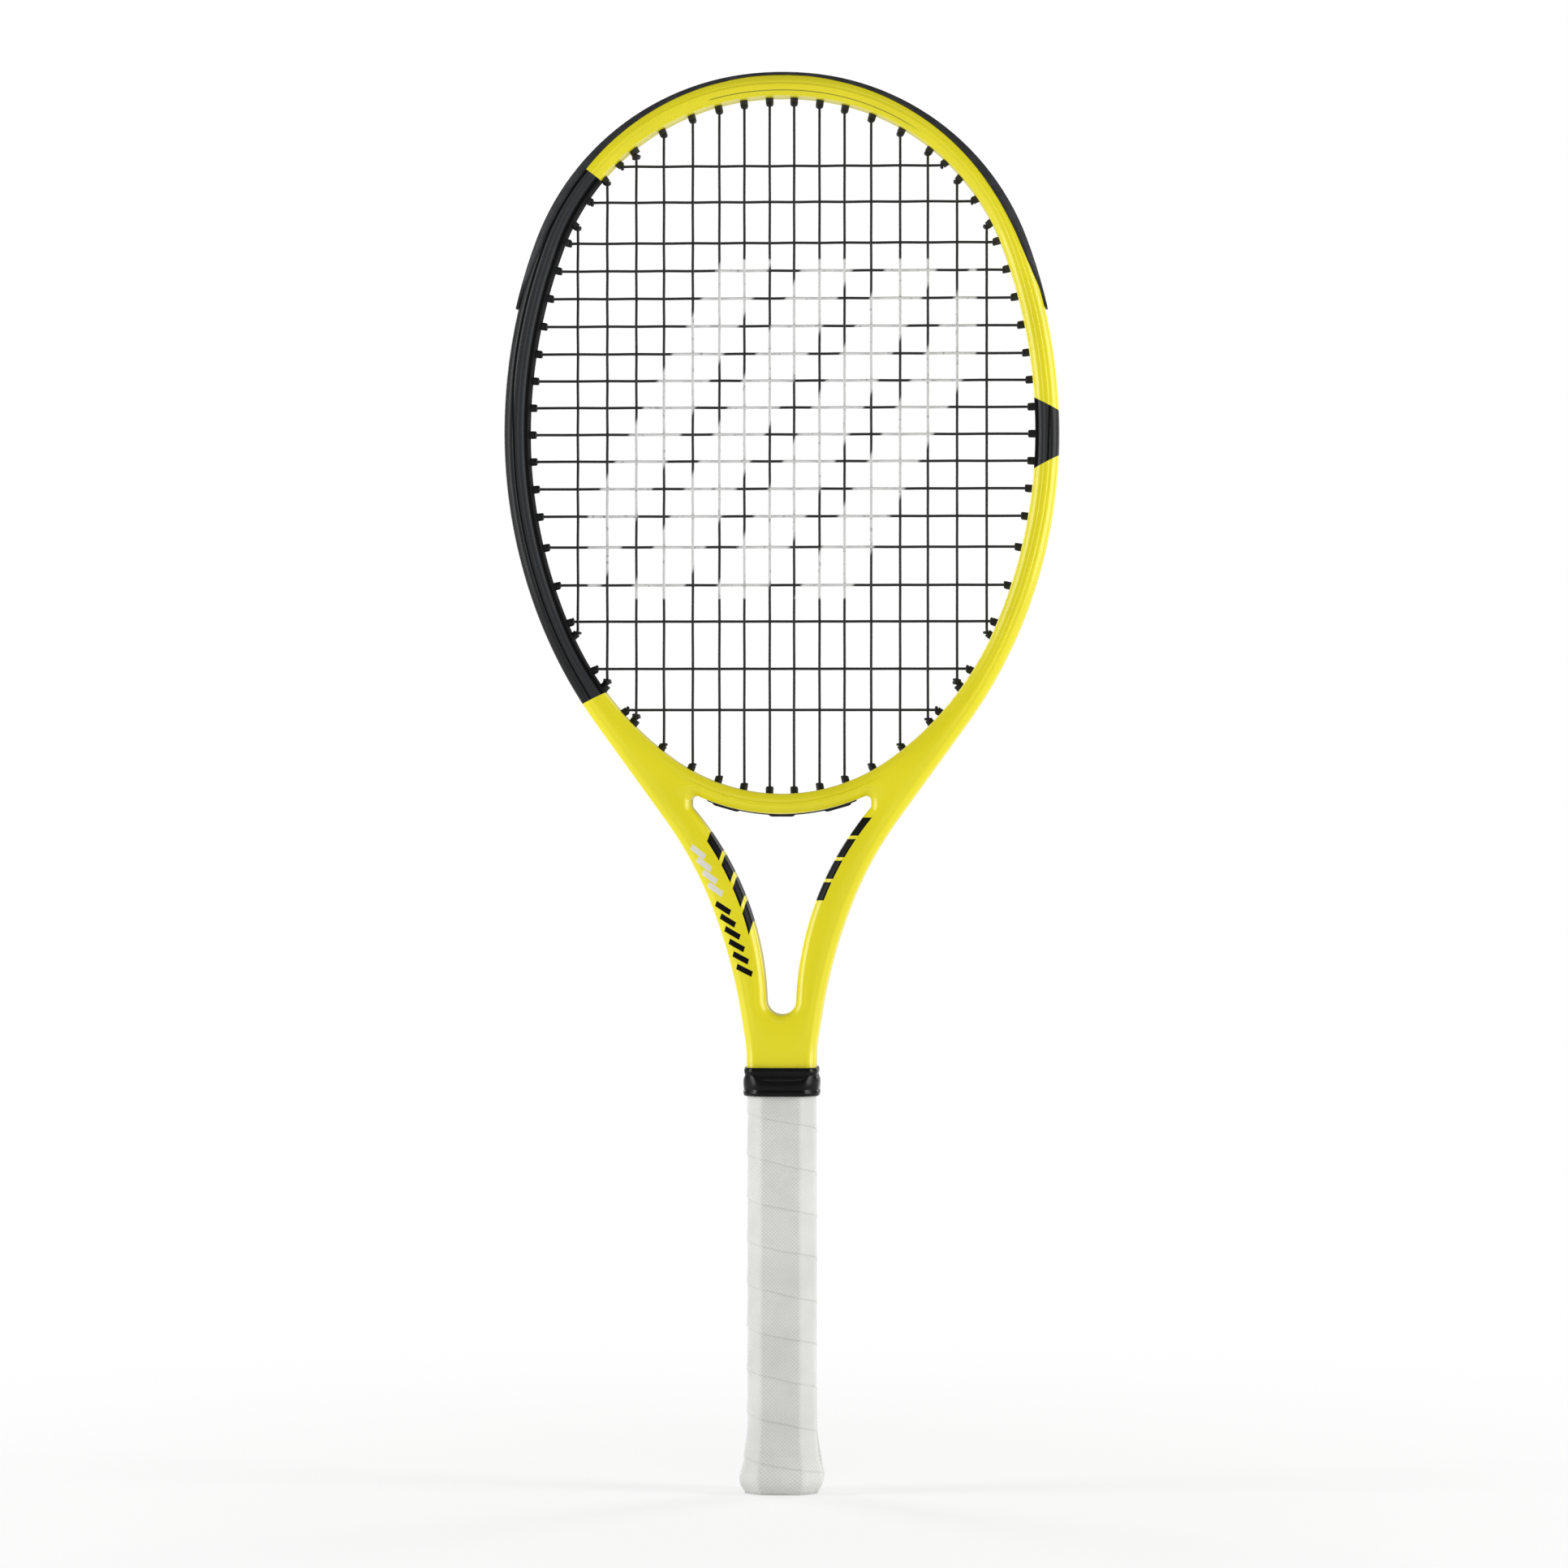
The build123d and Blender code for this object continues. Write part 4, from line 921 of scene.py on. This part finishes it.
def grommet_noses():
    """The rounded ends of the grommet barrels, where the strings come out of them."""
    sides = 20
    vertices, faces = [], []
    for kind, number, x, z in string_bends():
        profile = NOSE_ROOT + tuple((share * NOSE_LENGTHS[kind], radius) for share, radius in NOSE_TIP)
        rings = bands_between(len(profile), sides) + band_back(len(profile), sides)
        for side in (-1, 1):
            if (kind, number, side) in TIED:
                continue
            way_x, way_z = side * NOSE_WAYS[kind][0], NOSE_WAYS[kind][1]
            start = len(vertices)
            for run, radius in profile:
                for i in range(sides):
                    a = 2 * math.pi * i / sides
                    off = radius * math.cos(a)
                    vertices.append((side * x + way_x * run - way_z * off, radius * math.sin(a),
                                     z + way_z * run + way_x * off))
            faces += [tuple(start + i for i in ring) for ring in rings]
    tidy(piece("grommet_noses", "racket", NYLON, vertices, faces))


# ---- String knots --------------------------------------------------------------------------------
KNOT_START = 60.0  # degrees round the main
KNOT_TURN = 810.0
KNOT_STEPS = 60
KNOT_FLARE = 0.4  # how much wider a knot is wound beside its grommet
KNOT_TAIL = (0.3, 0.6, 0.9, 1.2)
KNOT_FROM_SIDE = 2.1  # from the side of the knots' box to the main inside it


def tube(points, radius):
    """Vertices and faces of a round tube along a line of points, with domed ends."""
    sides = 14
    points = [Vector(point) for point in points]
    rings = []
    normal = None
    for i, point in enumerate(points):
        way = (points[min(i + 1, len(points) - 1)] - points[max(i - 1, 0)]).normalized()
        normal = way.orthogonal() if normal is None else normal - way * normal.dot(way)
        normal.normalize()
        rings.append((point, way, normal.copy()))
    shrink = [0.35, 0.8] + [1.0] * (len(rings) - 4) + [0.8, 0.35]
    vertices = []
    for (point, way, normal), size in zip(rings, shrink):
        other = way.cross(normal)
        for i in range(sides):
            a = 2 * math.pi * i / sides
            vertices.append(tuple(point + (normal * math.cos(a) + other * math.sin(a)) * radius * size))
    faces = bands_between(len(rings), sides)
    last = (len(rings) - 1) * sides
    faces += [tuple(reversed(range(sides))), tuple(range(last, last + sides))]
    return vertices, faces


def knot_line(x, z, up):
    """The string's end, wound a little over twice round a main at x and z, then turned away."""
    wire = STRING_DIAMETER / 2
    line = []
    for i in range(KNOT_STEPS + 1):
        share = i / KNOT_STEPS
        a = math.radians(KNOT_START + KNOT_TURN * share)
        stand = STRING_DIAMETER + 0.02 + KNOT_FLARE * (1 - share)
        rise = up * (share - 0.5) * (KNOT_LENGTH - 2 * wire)
        line.append((x + stand * math.cos(a), stand * math.sin(a), z + rise))
    end = Vector(line[-1])
    away = Vector((end.x - x, end.y, 0)).normalized()
    turned = Vector((-away.y, away.x, 0))
    tail_way = turned + away * 0.12 + Vector((0, 0, up * 0.1))
    return line + [tuple(end + tail_way * run) for run in KNOT_TAIL]


def knots(name, node_name, places):
    """The knots of one string, as one piece."""
    vertices, faces = [], []
    for x, z, up in places:
        start = len(vertices)
        new_vertices, new_faces = tube(knot_line(x, z, up), STRING_DIAMETER / 2)
        vertices += new_vertices
        faces += [tuple(start + i for i in face) for face in new_faces]
    tidy(piece(name, "racket", STRING, vertices, faces, replaced=(node_name,)))


def knot_places():
    """The four knots, from the boxes of their CAD nodes: x, z, and one or minus one for up or down."""
    low, high = (Vector(corner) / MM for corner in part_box("main_string_knots"))
    across, z = (high.x - low.x) / 2 - KNOT_FROM_SIDE, (low.z + high.z) / 2 - KNOT_PULLED
    main_knots = [(-across, z, 1), (across, z, 1)]
    low, high = (Vector(corner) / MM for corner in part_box("cross_string_knots"))
    x = (low.x + high.x) / 2
    from_end = KNOT_LENGTH / 2 - KNOT_PULLED
    cross_knots = [(x, low.z + from_end, 1), (x, high.z - from_end, -1)]
    return main_knots, cross_knots


painted_frame()
grip_tape()
collar()
guard_lips()
grommet_noses()
main_places, cross_places = knot_places()
knots("main_string_wound_knots", "main_string_knots", main_places)
knots("cross_string_wound_knots", "cross_string_knots", cross_places)


# ---- Floor, light and camera ---------------------------------------------------------------------
FLOOR_RADIUS = 4.0
FLOOR_TONE = 0.95
FADE_START, FADE_END = 0.05, 0.9  # metres from the racket, over which the floor turns to pure white
MIDDLE = (0, 0, 0.36)
FILL_LIGHT = 0.415
# Name, place, size and power
SOFTBOXES = (
    ("left_box", (-1.75, -0.42, 0.42), (0.6, 1.7), 24),
    ("right_box", (1.75, -0.42, 0.42), (0.6, 1.7), 24),
    ("top_box", (0.2, -1.5, 1.9), (1.2, 0.8), 3.5),
    ("back_left_box", (-1.2, 1.4, 0.9), (0.6, 1.2), 10),
    ("back_right_box", (1.2, 1.4, 0.9), (0.6, 1.2), 10),
)
CAMERA_DISTANCE = 3.0
CAMERA_AZIMUTH = 3  # degrees to the right of the front
CAMERA_TARGET = (0.001, 0, 0.3423)
HEIGHT_IN_VIEW = 0.7585


def floor_material():
    """A pale matt floor near the racket that turns into the white around it."""
    material = bpy.data.materials.new("floor_material")
    material.use_nodes = True
    tree = material.node_tree
    tree.nodes.clear()
    out = tree.nodes.new("ShaderNodeOutputMaterial")
    blend = tree.nodes.new("ShaderNodeMixShader")
    pale = tree.nodes.new("ShaderNodeBsdfDiffuse")
    pale.inputs[0].default_value = (FLOOR_TONE, FLOOR_TONE, FLOOR_TONE, 1)
    glow = tree.nodes.new("ShaderNodeEmission")
    glow.inputs[0].default_value = (1, 1, 1, 1)
    centre = tree.nodes.new("ShaderNodeTexCoord")
    far = tree.nodes.new("ShaderNodeVectorMath")
    far.operation = "LENGTH"
    fade = tree.nodes.new("ShaderNodeMapRange")
    fade.interpolation_type = "SMOOTHSTEP"
    fade.inputs["From Min"].default_value = FADE_START
    fade.inputs["From Max"].default_value = FADE_END
    fade.inputs["To Min"].default_value = 0.5
    tree.links.new(centre.outputs["Object"], far.inputs[0])
    tree.links.new(far.outputs["Value"], fade.inputs["Value"])
    tree.links.new(fade.outputs[0], blend.inputs[0])
    tree.links.new(pale.outputs[0], blend.inputs[1])
    tree.links.new(glow.outputs[0], blend.inputs[2])
    tree.links.new(blend.outputs[0], out.inputs[0])
    return material


def floor():
    """A round floor just under the butt."""
    work = bmesh.new()
    bmesh.ops.create_circle(work, cap_ends=True, segments=96, radius=FLOOR_RADIUS)
    mesh = bpy.data.meshes.new("floor")
    work.to_mesh(mesh)
    work.free()
    mesh.materials.append(floor_material())
    made = bpy.data.objects.new("floor", mesh)
    bpy.context.scene.collection.objects.link(made)
    made.location = (0, 0, cad_low.z - 0.0002)


def softbox(name, place, size, power):
    """A rectangular light that faces the middle of the racket."""
    light = bpy.data.lights.new(name, "AREA")
    light.shape = "RECTANGLE"
    light.size, light.size_y = size
    light.energy = power
    made = bpy.data.objects.new(name, light)
    bpy.context.scene.collection.objects.link(made)
    made.location = place
    made.rotation_euler = (Vector(MIDDLE) - Vector(place)).to_track_quat("-Z", "Y").to_euler()


def studio():
    """Softboxes in a dim even fill, before a background that the camera sees as white."""
    world = bpy.data.worlds.new("studio")
    bpy.context.scene.world = world
    world.use_nodes = True
    tree = world.node_tree
    tree.nodes.clear()
    out = tree.nodes.new("ShaderNodeOutputWorld")
    blend = tree.nodes.new("ShaderNodeMixShader")
    path = tree.nodes.new("ShaderNodeLightPath")
    fill = tree.nodes.new("ShaderNodeBackground")
    fill.inputs[1].default_value = FILL_LIGHT
    white = tree.nodes.new("ShaderNodeBackground")
    for shade in (fill, white):
        shade.inputs[0].default_value = (1, 1, 1, 1)
    tree.links.new(path.outputs["Is Camera Ray"], blend.inputs[0])
    tree.links.new(fill.outputs[0], blend.inputs[1])
    tree.links.new(white.outputs[0], blend.inputs[2])
    tree.links.new(blend.outputs[0], out.inputs[0])
    for box in SOFTBOXES:
        softbox(*box)


def camera():
    """A long lens, level with the racket's middle and very nearly in front of it."""
    data = bpy.data.cameras.new("camera")
    data.sensor_width = 36
    data.lens = data.sensor_width * CAMERA_DISTANCE / HEIGHT_IN_VIEW
    data.clip_start, data.clip_end = 0.05, 50
    made = bpy.data.objects.new("camera", data)
    bpy.context.scene.collection.objects.link(made)
    azimuth = math.radians(CAMERA_AZIMUTH)
    target = Vector(CAMERA_TARGET)
    made.location = target + Vector((math.sin(azimuth), -math.cos(azimuth), 0)) * CAMERA_DISTANCE
    made.rotation_euler = (target - made.location).to_track_quat("-Z", "Y").to_euler()
    bpy.context.scene.camera = made


floor()
studio()
camera()
bpy.context.scene.view_settings.view_transform = "Standard"
